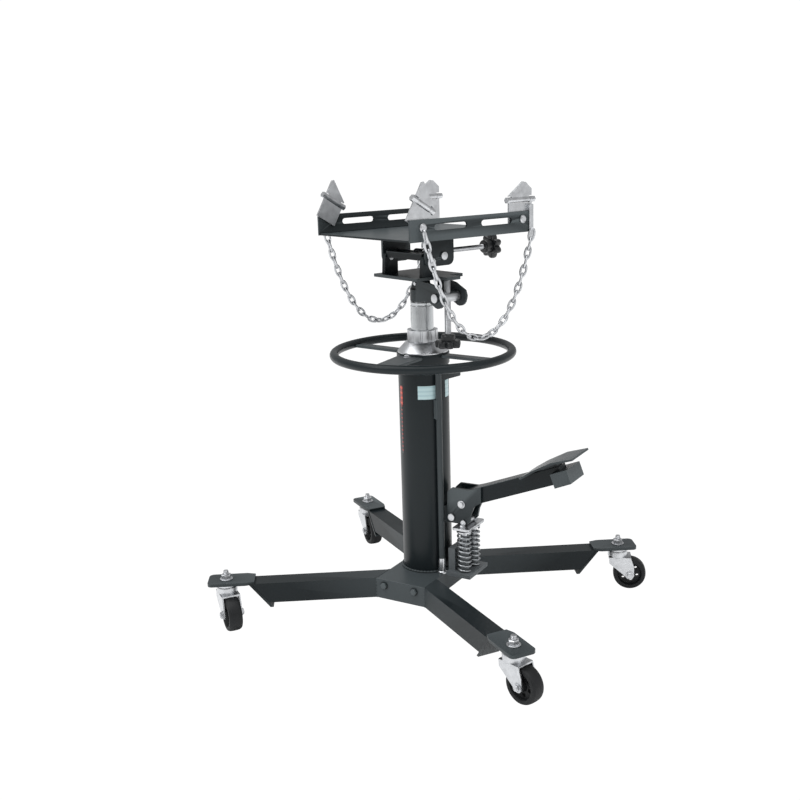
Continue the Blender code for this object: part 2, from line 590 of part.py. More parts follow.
def build_tray():
    corner = saddle_point(TRAY_U, TRAY_V, 0)
    in_tray = axes(U, V, UP, corner)
    across_v = axes(U, UP, V, corner)
    floor_u = TRAY_HALF_U - 0.0005
    floor_v = TRAY_HALF_V - 0.0010
    parts = [box(-floor_u, floor_u, -floor_v, floor_v, TRAY_BOTTOM, FLOOR_TOP, in_tray)]
    cuts = []
    for sv in (-1, 1):
        low, high = sorted((sv * 0.1434, sv * (TRAY_HALF_V - SHEET + 0.0005)))
        cuts.append(box(-TRAY_HALF_U - 0.01, TRAY_HALF_U + 0.01, low, high, FLOOR_TOP - 0.0006, FLOOR_TOP + 0.0004,
                        in_tray))
        low, high = sorted((sv * TRAY_HALF_V, sv * (TRAY_HALF_V - SHEET)))
        parts.append(box(-TRAY_HALF_U, TRAY_HALF_U, low, high, TRAY_BOTTOM - 0.0005, RAIL_TOP, in_tray))
        for su in (-1, 1):
            u0, u1 = sorted((su * 0.019, su * 0.104))
            cuts.append(prism(slot(u0, u1, 0.8695, 0.8815), low - 0.01, high + 0.01, across_v))
            bolt = axes(U, UP, V, corner + U * su * BOLT_U + UP * BOLT_Z)
            cuts.append(rod(0.0055, low - 0.01, high + 0.01, 10, bolt))
        lug = [(-0.047, TRAY_BOTTOM + 0.002), (-0.047, 0.802)]
        lug += arc(-0.033, 0.802, 0.014, 180, 270, 4)
        lug += arc(0.014, 0.802, 0.014, 270, 360, 4)
        lug += [(0.028, TRAY_BOTTOM + 0.002)]
        low, high = sorted((sv * 0.0675, sv * 0.0735))
        parts.append(prism(lug, low, high, ACROSS_V))
    cuts.append(rod(0.0054, -0.10, 0.10, 20, along_v(ROCK_U, 0, ROCK_Z)))
    cuts.append(rod(0.0058, -0.10, 0.10, 20, along_v(0, 0, BAR_Z)))
    add("saddle_tray", combine(parts, cuts), "paint", saddle_point(ROCK_U, 0, ROCK_Z))

    for name, sv in (("left", -1), ("right", 1)):
        pin = lathe([(0, 0.0565), (0.0050, 0.0565), (0.0050, 0.0738), (0.0090, 0.0738), (0.0090, 0.0770),
                     (0.0070, 0.0785), (0, 0.0785)], 20, axes(U, UP, V * sv, saddle_point(ROCK_U, 0, ROCK_Z)))
        add("rock_pin_" + name, pin, "zinc", saddle_point(ROCK_U, 0, ROCK_Z))
    bar = lathe([(0, -0.0785), (0.0085, -0.0775), (0.0085, -0.0738), (0.0055, -0.0738), (0.0055, -0.0140),
                 (0.0105, -0.0140), (0.0105, 0.0140), (0.0055, 0.0140), (0.0055, 0.0738), (0.0085, 0.0738),
                 (0.0085, 0.0775), (0, 0.0785)], 16, along_v(0, 0, BAR_Z))
    bore = rod(0.0058, -0.03, 0.03, 20, along_u(0, 0, BAR_Z))
    add("rock_trunnion", combine([bar], [bore]), "zinc", saddle_point(0, 0, BAR_Z))

    screw = rod(0.0055, -0.0253, 0.1795, 20, along_u(0, 0, BAR_Z))
    add("rock_screw", screw, "zinc", saddle_point(-0.0253, 0, BAR_Z))
    knob_frame = along_u(0, 0, BAR_Z)
    star = star_knob(7, 0.0200, 0.0285, 0.1960, 0.2130, knob_frame)
    hub = lathe([(0, 0.1800), (0.0130, 0.1800), (0.0150, 0.1830), (0.0150, 0.2145), (0.0130, 0.2165), (0, 0.2165)],
                24, knob_frame)
    add("rock_knob", combine([star, hub]), "plastic", saddle_point(0.1800, 0, BAR_Z))


TRAY_CORNERS = {
    "front_left": (1, -1),
    "front_right": (1, 1),
    "rear_left": (-1, -1),
    "rear_right": (-1, 1),
}


def build_clamp(name, su, sv):
    """Corner bracket bolted inside the rail, and the pointed claw hinged on it.

    Both are drawn about the rail bolt: first along the rail towards its end, then up.
    """
    inner = TRAY_HALF_V - SHEET - 0.0044
    outer = inner + 0.004
    middle = (inner + outer) / 2
    base = saddle_point(TRAY_U, TRAY_V, 0)
    bolt = axes(U * su, UP, V * sv, base + U * su * BOLT_U + UP * BOLT_Z)
    if su < 0:
        face = bolt @ Matrix.Rotation(LEAN, 4, "Z")
        left, right, foot, pivot = -0.0100, 0.0390, -0.0055, 0.0400
        crest = [(right, 0.0750), (right - 0.0040, 0.0790), (left, 0.0500)]
    else:
        face = bolt
        left, right, foot, pivot = -0.0340, 0.0320, -0.0220, 0.0390
        crest = [(right, 0.0600), (0.0150, 0.0740), (0.0060, 0.0755), (left + 0.0040, 0.0510), (left, 0.0480)]
    seat = pivot - 0.0062
    ear = pivot - 0.0030
    wing = [(left, foot), (right, foot), (right, ear), (right - 0.0070, ear), (right - 0.0070, seat),
            (left + 0.0070, seat), (left + 0.0070, ear), (left, ear)]
    parts = [prism(wing, inner, outer, face)]
    hinge = face @ axes((0, 0, 1), (0, 1, 0), (1, 0, 0), (0, pivot, middle))
    for start, end in ((left + 0.0002, left + 0.0072), (right - 0.0072, right - 0.0002)):
        parts.append(rod(0.0060, start, end, 10, hinge))
    parts.append(rod(0.0030, left - 0.0020, right + 0.0060, 8, hinge))
    parts.append(hexagon(0.0066, left - 0.0055, left + 0.0005, hinge))
    parts.append(hexagon(0.0066, right - 0.0005, right + 0.0075, hinge))
    parts.append(rod(0.0050, inner + 0.001, 0.1550, 10, bolt))
    parts.append(lathe([(0, 0.1528), (0.0085, 0.1528), (0.0085, 0.1555), (0.0060, 0.1577), (0, 0.1577)], 12, bolt))
    if su > 0:
        parts.append(box(0.0180, 0.0300, 0.0162, 0.0290, inner + 0.0010, 0.1545, bolt))
        parts.append(box(0.0182, 0.0298, -0.0445, 0.0285, 0.1528, 0.1552, bolt))
    add("bracket_" + name, combine(parts), "zinc")

    under, shoulder = pivot + 0.0042, pivot + 0.0076
    blade = [(left + 0.0078, under), (right - 0.0078, under), (right - 0.0078, shoulder), (right, shoulder)]
    blade += crest + [(left, shoulder), (left + 0.0078, shoulder)]
    knuckle = rod(0.0057, left + 0.0076, right - 0.0076, 10, hinge)
    bore = rod(0.0034, left - 0.02, right + 0.02, 12, hinge)
    claw = combine([prism(blade, inner, outer, face), knuckle], [bore])
    add("claw_" + name, claw, "zinc", hinge.translation)


def hanging(start, low, end, steps):
    """Points of a chain hanging from start to end, through its lowest point."""
    points = []
    for i in range(steps + 1):
        u = start[0] + (end[0] - start[0]) * i / steps
        side = start if u < low[0] else end
        part = abs(u - low[0]) / abs(side[0] - low[0])
        drop = (math.cosh(1.9 * part) - 1) / (math.cosh(1.9) - 1)
        points.append((u, low[1] + (side[1] - low[1]) * drop))
    return points


def build_chains():
    for name, v in (("left", TRAY_V - 0.1650), ("right", TRAY_V + 0.1650)):
        line = hanging((-0.1300, 0.8600), (0.012, 0.6480), (0.1560, 0.8440), 22)
        path = [saddle_point(u, v, z) for u, z in line]
        add("chain_" + name, sweep(path, 0.0040, 6), "zinc")


def main():
    for item in list(bpy.data.objects):
        bpy.data.objects.remove(item)
    build_base()
    build_column()
    build_release()
    build_pump()
    build_pedal()
    build_socket()
    build_cradle()
    build_tray()
    for name, (su, sv) in TRAY_CORNERS.items():
        build_clamp(name, su, sv)
    build_chains()


main()
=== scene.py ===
"""Transmission jack: finished surfaces, hardware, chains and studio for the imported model."""
import json
import math

import bmesh
import bpy
from bpy.props import FloatProperty, FloatVectorProperty, IntProperty, PointerProperty
from bpy.types import Operator, Panel, PropertyGroup
from mathutils import Matrix, Vector


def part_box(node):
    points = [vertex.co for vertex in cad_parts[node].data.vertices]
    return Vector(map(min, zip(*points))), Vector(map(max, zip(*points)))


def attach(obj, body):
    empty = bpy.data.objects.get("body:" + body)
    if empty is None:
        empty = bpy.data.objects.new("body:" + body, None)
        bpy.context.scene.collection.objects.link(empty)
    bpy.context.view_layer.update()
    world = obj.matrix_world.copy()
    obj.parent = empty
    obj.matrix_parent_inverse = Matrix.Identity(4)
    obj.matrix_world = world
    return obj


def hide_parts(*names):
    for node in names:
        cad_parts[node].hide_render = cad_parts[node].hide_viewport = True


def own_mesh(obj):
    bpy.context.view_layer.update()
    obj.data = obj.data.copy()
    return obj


bl_info = {
    "name": "Transmission Jack",
    "version": (1, 0, 0),
    "blender": (4, 5, 0),
    "location": "View3D > Sidebar > Jack",
    "description": "Builds the finished surfaces of a telescopic transmission jack",
    "category": "Object",
}

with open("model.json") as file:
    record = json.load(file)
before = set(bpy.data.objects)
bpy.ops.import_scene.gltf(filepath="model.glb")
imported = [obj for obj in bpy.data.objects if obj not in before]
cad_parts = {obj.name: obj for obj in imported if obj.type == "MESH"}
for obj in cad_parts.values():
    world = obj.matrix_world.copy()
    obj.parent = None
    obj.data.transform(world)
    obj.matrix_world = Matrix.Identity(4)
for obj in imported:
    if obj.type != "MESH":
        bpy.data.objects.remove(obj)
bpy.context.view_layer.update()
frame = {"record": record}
JOINTS = {joint["name"]: joint for joint in frame["record"]["behaviour"]["joints"]}
BODY_OF_NODE = {}
for body_name, node_names in frame["record"]["behaviour"]["bodies"].items():
    for node_name in node_names:
        BODY_OF_NODE[node_name] = body_name

UP = Vector((0, 0, 1))
# a turned profile's point nearer than this to the axis is taken to lie on it
ON_AXIS = 1e-6
CORNERS = ("front_left", "front_right", "rear_left", "rear_right")


# ---------------------------------------------------------------- settings
def linear(code):
    """A linear colour from an sRGB hex code such as 2b3033."""
    channels = [int(code[i:i + 2], 16) / 255 for i in (0, 2, 4)]
    return tuple(c / 12.92 if c <= 0.04045 else ((c + 0.055) / 1.055) ** 2.4 for c in channels)


def size(name, description, value):
    """A length in metres that a user can change."""
    return FloatProperty(name=name, description=description, default=value, min=0.0001, unit="LENGTH",
                         precision=4)


def colour(name, description, code):
    """A colour that a user can change, given as an sRGB hex code."""
    return FloatVectorProperty(name=name, description=description, default=linear(code), subtype="COLOR",
                               min=0.0, max=1.0)


class JackSizes(PropertyGroup):
    edge: size("Edge break", "Rounding left on a sheet or tube edge", 0.0011)
    cast_edge: size("Casting edge", "Rounding on cast and welded bodies", 0.0016)
    fine_edge: size("Fine edge", "Rounding on turned and stamped hardware", 0.0005)
    bead: size("Weld bead", "Radius of a fillet weld's bead", 0.0028)
    link_wire: size("Link wire", "Radius of the chain's wire", 0.0024)
    link_length: size("Link length", "Distance from one link to the next", 0.0185)
    link_width: size("Link width", "Outside width of one chain link", 0.0155)
    spring_wire: size("Spring wire", "Radius of the spring's wire", 0.0024)
    spring_radius: size("Spring radius", "Radius of the coil to the middle of its wire", 0.0134)
    spring_turns: IntProperty(name="Spring turns", description="Turns in each return spring", default=8,
                              min=2)
    thread_pitch: size("Thread pitch", "Distance between the crests of a screw", 0.0022)


class JackColours(PropertyGroup):
    paint: colour("Powder coat", "Charcoal coat on the tubes and plates", "11181b")
    zinc: colour("Zinc plate", "Bright plated hardware", "d0d2d5")
    ram: colour("Ground ram", "Polished rams", "b6b9bb")
    rubber: colour("Wheel", "Black moulded wheel", "101214")
    knob: colour("Knob", "Black moulded star knob", "16181a")
    casting: colour("Pump casting", "Grey painted pump body", "565b5e")
    red_label: colour("Warning label", "Red printed film", "8c2a25")
    blue_label: colour("Plate label", "Pale blue printed film", "b4cdd0")
    floor: colour("Studio floor", "Plain pale paper", "fbfbfb")


# ---------------------------------------------------------------- shader graphs
# a Mix node's colour sockets share their names with its other types, so they are found by number
MIX_A = 6
MIX_B = 7
MIX_RESULT = 2
# a wave texture of scale 1 repeats every 2 pi / 20 of a metre
WAVE_PERIOD = 2 * math.pi / 20


def add_node(tree, kind, settings=None, values=None, links=None):
    """Add a node, set its options and socket values, and link sockets into it."""
    node = tree.nodes.new(kind)
    for key, value in (settings or {}).items():
        setattr(node, key, value)
    for key, value in (values or {}).items():
        node.inputs[key].default_value = value
    for key, socket in (links or {}).items():
        tree.links.new(socket, node.inputs[key])
    return node


def start_material(name, base, roughness, metallic):
    """A Principled material with object coordinates ready."""
    material = bpy.data.materials.new(name)
    material.use_nodes = True
    tree = material.node_tree
    shader = tree.nodes["Principled BSDF"]
    shader.inputs["Base Color"].default_value = (*base, 1.0)
    shader.inputs["Roughness"].default_value = roughness
    shader.inputs["Metallic"].default_value = metallic
    place = add_node(tree, "ShaderNodeTexCoord").outputs["Object"]
    return material, tree, shader, place


def per_metre(millimetres):
    """Texture scale whose features are this many millimetres apart."""
    return 1000.0 / millimetres


def vary_colour(tree, shader, base, factor, darker, lighter):
    """Drive the base colour between two strengths of itself."""
    ramp = add_node(tree, "ShaderNodeMix", {"data_type": "RGBA"}, links={0: factor})
    ramp.inputs[MIX_A].default_value = (*[c * darker for c in base], 1.0)
    ramp.inputs[MIX_B].default_value = (*[min(1.0, c * lighter) for c in base], 1.0)
    tree.links.new(ramp.outputs[MIX_RESULT], shader.inputs["Base Color"])
    return ramp


def vary_roughness(tree, shader, factor, low, high):
    """Drive the roughness between two levels."""
    spread = add_node(tree, "ShaderNodeMapRange", values={"To Min": low, "To Max": high},
                      links={"Value": factor})
    tree.links.new(spread.outputs[0], shader.inputs["Roughness"])


def emboss(tree, shader, height, strength, millimetres):
    """Shade the surface as if the pattern stood this many millimetres high."""
    bump = add_node(tree, "ShaderNodeBump", values={"Strength": strength, "Distance": millimetres / 1000},
                    links={"Height": height})
    tree.links.new(bump.outputs["Normal"], shader.inputs["Normal"])


def powder_coated_steel(base):
    """Mild steel, powder coated: the eye gets a semi-gloss skin with orange peel, and a painted highlight in
    pale grey along its sharp outer edges.
    """
    material, tree, shader, place = start_material("powder_coated_steel", base, 0.36, 0.0)
    # orange peel is about 1.5 mm across, and is drawn at 5 mm so that it shows; dust drifts over 70 mm
    peel = add_node(tree, "ShaderNodeTexNoise", values={"Scale": per_metre(5), "Detail": 3.0},
                    links={"Vector": place})
    cloud = add_node(tree, "ShaderNodeTexNoise", values={"Scale": per_metre(70), "Detail": 4.0},
                     links={"Vector": place})
    dust = vary_colour(tree, shader, base, cloud.outputs["Fac"], 0.80, 1.28)
    # painted highlight: the colour on sharp outer edges is mixed towards a pale grey that stands in for light
    # catching them
    edge = add_node(tree, "ShaderNodeNewGeometry")
    highlight_mask = add_node(tree, "ShaderNodeMapRange",
                   values={"From Min": 0.52, "From Max": 0.60, "To Min": 0.0, "To Max": 0.45},
                   links={"Value": edge.outputs["Pointiness"]})
    highlighted = add_node(tree, "ShaderNodeMix", {"data_type": "RGBA"}, {MIX_B: (*linear("70787b"), 1.0)},
                    {0: highlight_mask.outputs[0], MIX_A: dust.outputs[MIX_RESULT]})
    tree.links.new(highlighted.outputs[MIX_RESULT], shader.inputs["Base Color"])
    vary_roughness(tree, shader, cloud.outputs["Fac"], 0.30, 0.44)
    emboss(tree, shader, peel.outputs["Fac"], 0.22, 0.12)
    shader.inputs["Specular IOR Level"].default_value = 0.16
    shader.inputs["Coat Weight"].default_value = 0.07
    shader.inputs["Coat Roughness"].default_value = 0.20
    return material


def zinc_plated_steel(base):
    """Stamped steel, bright zinc plated: the eye gets a soft silver with faint grey mottling."""
    material, tree, shader, place = start_material("zinc_plated_steel", base, 0.34, 1.0)
    # plating mottles over about 14 mm; the sheet's grain is under 1 mm, and is drawn at 3 mm so that it shows
    mottle = add_node(tree, "ShaderNodeTexNoise", values={"Scale": per_metre(14), "Detail": 5.0},
                      links={"Vector": place})
    grain = add_node(tree, "ShaderNodeTexNoise", values={"Scale": per_metre(3), "Detail": 2.0},
                     links={"Vector": place})
    vary_colour(tree, shader, base, mottle.outputs["Fac"], 0.60, 1.12)
    vary_roughness(tree, shader, mottle.outputs["Fac"], 0.26, 0.46)
    emboss(tree, shader, grain.outputs["Fac"], 0.18, 0.10)
    return material


def turned_steel(name, base, roughness, ring_pitch):
    """Steel turned or ground round Z: the eye gets a mirror-like silver with soft rings."""
    material, tree, shader, place = start_material(name, base, roughness, 1.0)
    # a tool leaves rings under 0.5 mm apart, and they are drawn as far apart as they need to show
    rings = add_node(tree, "ShaderNodeTexWave", {"bands_direction": "Z"},
                     {"Scale": per_metre(ring_pitch) * WAVE_PERIOD, "Distortion": 0.6, "Detail": 2.0},
                     {"Vector": place})
    smear = add_node(tree, "ShaderNodeTexNoise", values={"Scale": per_metre(30), "Detail": 3.0},
                     links={"Vector": place})
    vary_colour(tree, shader, base, smear.outputs["Fac"], 0.82, 1.08)
    vary_roughness(tree, shader, smear.outputs["Fac"], roughness * 0.7, roughness * 1.5)
    emboss(tree, shader, rings.outputs["Fac"], 0.10, 0.04)
    shader.inputs["Anisotropic"].default_value = 0.45
    return material


def drawn_spring_steel(base):
    """Spring wire, drawn and oiled: the eye gets a darker silver with streaks of oil."""
    material, tree, shader, place = start_material("drawn_spring_steel", base, 0.32, 1.0)
    # oil gathers in streaks about 9 mm long
    oil = add_node(tree, "ShaderNodeTexNoise", values={"Scale": per_metre(9), "Detail": 4.0},
                   links={"Vector": place})
    vary_colour(tree, shader, base, oil.outputs["Fac"], 0.60, 1.15)
    vary_roughness(tree, shader, oil.outputs["Fac"], 0.22, 0.45)
    return material


def painted_cast_iron(base):
    """Grey iron, sand cast and painted: the eye gets a dull, pebbled skin."""
    material, tree, shader, place = start_material("painted_cast_iron", base, 0.55, 0.0)
    # moulding sand is about 0.5 mm, and is drawn at 4 mm so that it shows
    sand = add_node(tree, "ShaderNodeTexNoise", values={"Scale": per_metre(4), "Detail": 5.0},
                    links={"Vector": place})
    vary_colour(tree, shader, base, sand.outputs["Fac"], 0.75, 1.25)
    emboss(tree, shader, sand.outputs["Fac"], 0.45, 0.30)
    return material


def moulded_rubber(base):
    """Hard rubber, compression moulded: the eye gets a matt black with a grey bloom of dust."""
    material, tree, shader, place = start_material("moulded_rubber", base, 0.58, 0.0)
    # dust sits in patches about 12 mm across
    bloom = add_node(tree, "ShaderNodeTexNoise", values={"Scale": per_metre(12), "Detail": 5.0},
                     links={"Vector": place})
    shader.inputs["Specular IOR Level"].default_value = 0.3
    vary_colour(tree, shader, base, bloom.outputs["Fac"], 0.7, 1.6)
    vary_roughness(tree, shader, bloom.outputs["Fac"], 0.48, 0.68)
    emboss(tree, shader, bloom.outputs["Fac"], 0.15, 0.20)
    return material


def moulded_phenolic(base):
    """Phenolic resin, compression moulded: the eye gets a deep black with soft highlights."""
    material, tree, shader, place = start_material("moulded_phenolic", base, 0.34, 0.0)
    # the resin's flow marks are about 8 mm across
    flow = add_node(tree, "ShaderNodeTexNoise", values={"Scale": per_metre(8), "Detail": 3.0},
                    links={"Vector": place})
    vary_colour(tree, shader, base, flow.outputs["Fac"], 0.8, 1.4)
    emboss(tree, shader, flow.outputs["Fac"], 0.12, 0.15)
    return material


def printed_film(name, base, accent, band):
    """Vinyl film, printed and laminated: the eye gets a glossy label with plain bands a centimetre apart."""
    material, tree, shader, place = start_material(name, base, 0.28, 0.0)
    split = add_node(tree, "ShaderNodeSeparateXYZ", links={0: place})
    count = add_node(tree, "ShaderNodeMath", {"operation": "MULTIPLY"}, {1: per_metre(band)},
                     {0: split.outputs[2]})
    part = add_node(tree, "ShaderNodeMath", {"operation": "FRACT"}, links={0: count.outputs[0]})
    rule = add_node(tree, "ShaderNodeMath", {"operation": "GREATER_THAN"}, {1: 0.62}, {0: part.outputs[0]})
    mix = add_node(tree, "ShaderNodeMix", {"data_type": "RGBA"},
                   {MIX_A: (*base, 1.0), MIX_B: (*accent, 1.0)}, {0: rule.outputs[0]})
    tree.links.new(mix.outputs[MIX_RESULT], shader.inputs["Base Color"])
    return material


def seamless_paper(base):
    """Studio paper: the eye gets an even pale sweep."""
    material, tree, shader, place = start_material("seamless_paper", base, 0.9, 0.0)
    # the roll's tone drifts by a hundredth over 200 mm
    drift = add_node(tree, "ShaderNodeTexNoise", values={"Scale": per_metre(200), "Detail": 2.0},
                     links={"Vector": place})
    vary_colour(tree, shader, base, drift.outputs["Fac"], 0.99, 1.01)
    return material


MATERIALS = {}


# ---------------------------------------------------------------- mesh tools
def to_mesh(name, bm):
    """A plain mesh of the shape, merged and facing outwards; the shape itself goes."""
    bmesh.ops.remove_doubles(bm, verts=bm.verts, dist=1e-6)
    bmesh.ops.recalc_face_normals(bm, faces=bm.faces)
    mesh = bpy.data.meshes.new(name)
    bm.to_mesh(mesh)
    bm.free()
    return mesh


def finish_piece(name, mesh, material, body, nodes=(), crease=35):
    """Link a finished mesh as a piece riding on its body; a crease of None keeps the mesh's own normals."""
    mesh.name = name
    mesh.materials.clear()
    mesh.materials.append(MATERIALS[material])
    if crease is not None:
        mesh.shade_smooth()
        mesh.set_sharp_from_angle(angle=math.radians(crease))
    piece = bpy.data.objects.new(name, mesh)
    bpy.context.collection.objects.link(piece)
    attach(piece, body)
    if nodes:
        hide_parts(*nodes)
    return piece


def bake_modifiers(thing):
    """The object's evaluated shape as a plain mesh; the object itself goes."""
    graph = bpy.context.evaluated_depsgraph_get()
    mesh = bpy.data.meshes.new_from_object(thing.evaluated_get(graph))
    bpy.data.objects.remove(thing)
    return mesh


def work_object(mesh):
    """A passing object that carries modifiers."""
    thing = bpy.data.objects.new("work", mesh)
    bpy.context.collection.objects.link(thing)
    return thing


def cut_away(mesh, hole):
    """The mesh with the other mesh's shape taken out of it."""
    thing = work_object(mesh)
    cutter = work_object(hole)
    cut = thing.modifiers.new("hole", "BOOLEAN")
    cut.object = cutter
    cut.solver = "EXACT"
    result = bake_modifiers(thing)
    bpy.data.objects.remove(cutter)
    return result


def round_edges(mesh, width):
    """Break every hard edge of a mesh by the width, and keep its flats flat to the light."""
    mesh.shade_smooth()
    thing = work_object(mesh)
    bevel = thing.modifiers.new("edges", "BEVEL")
    bevel.width = width
    bevel.segments = 2
    bevel.limit_method = "ANGLE"
    bevel.angle_limit = math.radians(38)
    bevel.use_clamp_overlap = True
    bevel.miter_outer = "MITER_ARC"
    flats = thing.modifiers.new("flats", "WEIGHTED_NORMAL")
    flats.mode = "FACE_AREA"
    flats.weight = 70
    return bake_modifiers(thing)


def refined(node, width, material):
    """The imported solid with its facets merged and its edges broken."""
    source = bpy.data.objects[node]
    bm = bmesh.new()
    bm.from_mesh(source.data)
    bmesh.ops.remove_doubles(bm, verts=bm.verts, dist=2e-6)
    bmesh.ops.dissolve_limit(bm, angle_limit=math.radians(0.6), verts=bm.verts, edges=bm.edges)
    mesh = bpy.data.meshes.new(node + "_shape")
    bm.to_mesh(mesh)
    bm.free()
    mesh = round_edges(mesh, width)
    return finish_piece(node + "_finished", mesh, material, BODY_OF_NODE[node], (node,), None)


def frame_along(origin, direction):
    """Matrix whose Z runs along the direction, from the origin."""
    axis_z = Vector(direction).normalized()
    near = Vector((1, 0, 0)) if abs(axis_z.dot(UP)) > 0.99 else UP
    axis_x = near.cross(axis_z).normalized()
    axis_y = axis_z.cross(axis_x)
    place = Matrix((axis_x, axis_y, axis_z)).transposed().to_4x4()
    place.translation = Vector(origin)
    return place


def polar(radius, degrees, level=0.0):
    """The point at a radius and bearing round Z."""
    angle = math.radians(degrees)
    return Vector((radius * math.cos(angle), radius * math.sin(angle), level))


def skin(bm, rows, capped=True):
    """Faces between one ring of vertices and the next, and caps on the first and last."""
    count = len(rows[0])
    for lower, upper in zip(rows, rows[1:]):
        for i in range(count):
            j = (i + 1) % count
            corners = list(dict.fromkeys((lower[i], lower[j], upper[j], upper[i])))
            if len(corners) > 2:
                bm.faces.new(corners)
    if capped:
        bm.faces.new(rows[0])
        bm.faces.new(rows[-1])


def lathe(bm, profile, place, segments):
    """Spin (radius, height) points round local Z; closed into a ring unless an end is on the axis."""
    rows = []
    for radius, height in profile:
        if radius < ON_AXIS:
            rows.append([bm.verts.new(place @ Vector((0, 0, height)))] * segments)
        else:
            spots = [polar(radius, 360 * i / segments, height) for i in range(segments)]
            rows.append([bm.verts.new(place @ spot) for spot in spots])
    if profile[0][0] > ON_AXIS and profile[-1][0] > ON_AXIS:
        rows.append(rows[0])
    skin(bm, rows, capped=False)


def rounded(profile, radius):
    """The profile with each corner between its ends cut to a small arc."""
    steps = 3
    points = [profile[0]]
    for before, here, after in zip(profile, profile[1:], profile[2:]):
        corner = Vector(here)
        to_before = Vector(before) - corner
        to_after = Vector(after) - corner
        reach = min(radius, to_before.length * 0.45, to_after.length * 0.45)
        start = corner + to_before.normalized() * reach
        end = corner + to_after.normalized() * reach
        for i in range(steps + 1):
            part = i / steps
            spot = start * (1 - part) ** 2 + corner * 2 * part * (1 - part) + end * part ** 2
            points.append((spot.x, spot.y))
    points.append(profile[-1])
    return points


def prism(bm, outline, low, high, place):
    """A block on an outline of (x, y) points, from one height to another."""
    skin(bm, [[bm.verts.new(place @ Vector((x, y, level))) for x, y in outline] for level in (low, high)])


def arc(radius, start, end, steps):
    """Points (x, y) round the origin, from one bearing to another."""
    return [tuple(polar(radius, start + (end - start) * i / steps).xy) for i in range(steps + 1)]


def sweep(bm, path, radius, sides, closed=False):
    """A round bar along a path; the radius is a function of the point's index."""
    count = len(path)
    rows = []
    normal = None
    for i, point in enumerate(path):
        if closed:
            ahead, behind = path[(i + 1) % count], path[i - 1]
        else:
            ahead, behind = path[min(i + 1, count - 1)], path[max(i - 1, 0)]
        tangent = (ahead - behind).normalized()
        if normal is None:
            normal = tangent.orthogonal().normalized()
        normal = (normal - tangent * normal.dot(tangent)).normalized()
        side = tangent.cross(normal)
        reach = radius(i)
        row = []
        for k in range(sides):
            angle = 2 * math.pi * k / sides
            row.append(bm.verts.new(point + (normal * math.cos(angle) + side * math.sin(angle)) * reach))
        rows.append(row)
    if closed:
        rows.append(rows[0])
    skin(bm, rows, capped=not closed)


def hex_head(bm, place, radius, height):
    """A chamfered hexagon on a washer, standing on local Z."""
    start = 0.0014
    rim = radius * 1.28
    lathe(bm, rounded([(0, 0), (rim, 0), (rim, start), (0, start)], 0.0004), place, 28)
    lip = radius * 0.12
    rows = []
    for reach, level in ((radius, start), (radius, start + height - lip), (radius * 0.88, start + height)):
        rows.append([bm.verts.new(place @ polar(reach, 60 * i, level)) for i in range(6)])
    skin(bm, rows)


def threaded_rod(bm, place, radius, low, high, pitch):
    """A rod whose radius follows a helical thread, which fades out at both ends."""
    depth = 0.0007
    segments = 28
    rows = []
    steps_per_turn = 8
    count = max(2, int((high - low) / pitch * steps_per_turn))
    for k in range(count + 1):
        level = low + (high - low) * k / count
        fade = min(1.0, (level - low) / pitch, (high - level) / pitch)
        row = []
        for i in range(segments):
            phase = (level / pitch - i / segments) % 1.0
            groove = abs(phase - 0.5) * 2
            reach = radius - depth * groove * fade - (1 - fade) * depth
            row.append(bm.verts.new(place @ polar(reach, 360 * i / segments, level)))
        rows.append(row)
    skin(bm, rows)


def weld_bead(bm, path, radius, closed=False):
    """A rippled fillet weld along a path of points."""
    def ripple(i):
        return radius * (0.86 + 0.16 * math.sin(i * 1.9) + 0.05 * math.sin(i * 0.7))
    sweep(bm, path, ripple, 8, closed)


def straight(start, end):
    """Points on a straight line, close enough to show a weld's ripples."""
    spacing = 0.0022
    count = max(2, int((end - start).length / spacing))
    return [start.lerp(end, i / count) for i in range(count + 1)]


# ---------------------------------------------------------------- geometry node trees
def new_tree(name, inputs):
    """A geometry node group with a geometry output and the named inputs."""
    group = bpy.data.node_groups.new(name, "GeometryNodeTree")
    group.interface.new_socket("Geometry", in_out="INPUT", socket_type="NodeSocketGeometry")
    for label, kind, default in inputs:
        socket = group.interface.new_socket(label, in_out="INPUT", socket_type=kind)
        if default is not None:
            socket.default_value = default
    group.interface.new_socket("Geometry", in_out="OUTPUT", socket_type="NodeSocketGeometry")
    return group, group.nodes.new("NodeGroupInput"), group.nodes.new("NodeGroupOutput")


def end_tree(group, given, result, shape):
    """Make every copy real, give it the finish, and hand it out."""
    real = add_node(group, "GeometryNodeRealizeInstances", links={"Geometry": shape})
    painted = add_node(group, "GeometryNodeSetMaterial",
                       links={"Geometry": real.outputs[0], "Material": given.outputs["Finish"]})
    group.links.new(painted.outputs[0], result.inputs[0])
    return group


def run_tree(mesh, group, values):
    """Run a tree on a mesh and return the plain result."""
    thing = work_object(mesh)
    modifier = thing.modifiers.new("build", "NODES")
    modifier.node_group = group
    labels = {item.name: item.identifier for item in group.interface.items_tree if item.in_out == "INPUT"}
    for label, value in values.items():
        modifier[labels[label]] = value
    return bake_modifiers(thing)


